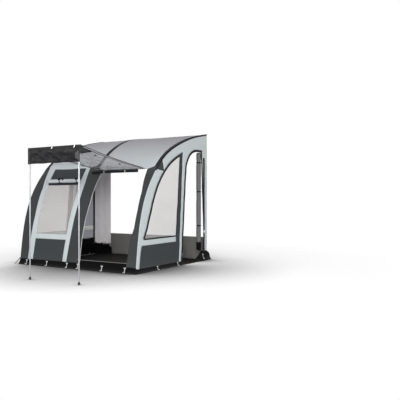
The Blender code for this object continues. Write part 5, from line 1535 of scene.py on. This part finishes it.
# %% Flap over the zip and tie-back tab
FLAP_Y = 1.005
up = np.linspace(0.21, 1.96, 70)
line = spread(HALF_WIDTH + 0.0042 + wall_slack(np.full_like(up, FLAP_Y), up), FLAP_Y, up)
settle(sweep("zip_flap", line, flat_section(0.0014, 0.060)), TAPE_CLOTH, ())
line = [(HALF_WIDTH + 0.0068, 1.020, z) for z in np.linspace(0.530, 0.592, 8)]
settle(sweep("tie_back", line, flat_section(0.0030, 0.056)), PALE_CLOTH)

# %% [markdown]
# ## Fittings of the canopy
# Toggles hang in pairs under the canopy's strips, white clips hold its cover on the bar, and a cap closes each
# end of the tube. A clip is one flat strap bent round the cover, as the real ones are moulded in a single piece.

# %% Toggles, clips and caps of the canopy
CLIP_RADIUS = COVER_RADIUS + 0.0034
CLIP_TAIL = ((0.003, 0.008), (0.007, 0.016), (0.010, 0.023))
CAP = ((-0.006, 0.0135), (-0.006, 0.0160), (0.012, 0.0160), (0.018, 0.0130), (0.020, 0.0))
black = []
for share in (0.11, 0.885):
    for out in (0.62, 1.233):
        high, low, place = (canopy_point(share, out, -down) for down in (0.002, 0.010, 0.020))
        black += [turned("toggle", place, (0.2, 1.0, 0.1), TOGGLE),
                  sweep("loop", [high, low, place], flat_section(0.008, 0.0014))]
settle(joined("canopy_toggles", black), BLACK_WEBBING, body="canopy")
turns = np.linspace(math.radians(-110), math.radians(84), 24)
over_bar = [(BAR_Y - CLIP_RADIUS * math.sin(turn), BAR_Z + CLIP_RADIUS * math.cos(turn)) for turn in turns]
over_bar += [(BAR_Y - CLIP_RADIUS - out, BAR_Z - down) for out, down in CLIP_TAIL]
clips = [sweep("clip", [(x, y, z) for y, z in over_bar], flat_section(0.019, 0.0028)) for x in (0.722, 1.150)]
settle(joined("valance_clips", clips), PALE_PLASTIC, body="valance")
caps = [turned("cap", (x, BAR_Y, BAR_Z), (way, 0.0, 0.0), CAP, 20) for x, way in ((END_LEFT, -1), (END_RIGHT, 1))]
settle(joined("bar_caps", caps), PLASTIC, body="canopy")

# %% [markdown]
# ## Corner strap
# A short black strap runs from the front left corner down to a peg of its own. It leans outwards, unlike the others, so
# its few points are listed instead of coming from the tree of copies.

# %% Strap and peg of the front left corner
corner = [(-1.3040, -1.116, 0.118), (-1.330, -1.124, 0.088), (-1.366, -1.132, 0.050), (-1.400, -1.139, 0.017),
          (-1.414, -1.142, 0.006)]
settle(sweep("corner_guy", corner, flat_section(0.014, 0.0020), (0.3, 1.0, 0.0)), BLACK_WEBBING)
corner = [(-1.416, -1.142, 0.0036), (-1.418, -1.142, 0.014), (-1.414, -1.141, 0.020), (-1.408, -1.140, 0.017)]
settle(sweep("corner_peg", corner, PEG_WIRE, (0.0, 1.0, 0.0)), PEG_STEEL)

# %% [markdown]
# ## Hard parts
# Poles, bar, feet, valves and sliders keep their solids, which already have the right shape. They only
# need their finishes.

# %% Finish the solids that stay
HARD_FINISHES = {
    STEEL: ("canopy_bar", "pole_outer_left", "pole_outer_right", "pole_inner_left", "pole_inner_right",
            "rear_pole_left", "rear_pole_right", "rear_pole_inner_left", "rear_pole_inner_right",
            "zip_slider_left", "zip_slider_right"),
    RUBBER: ("pole_foot_left", "pole_foot_right", "rail_bead"),
    PLASTIC: ("valve_left", "valve_centre", "valve_right", "valve_cap_left", "valve_cap_centre", "valve_cap_right"),
}
for material, names in HARD_FINISHES.items():
    for name in names:
        for slot in nodes[name].material_slots:
            slot.material = material
print("hard parts finished")

# %% [markdown]
# ## Close
# The size of the dressed awning is printed.

# %% Finish
low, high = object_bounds()
print("size", [round(b - a, 3) for a, b in zip(low, high)])
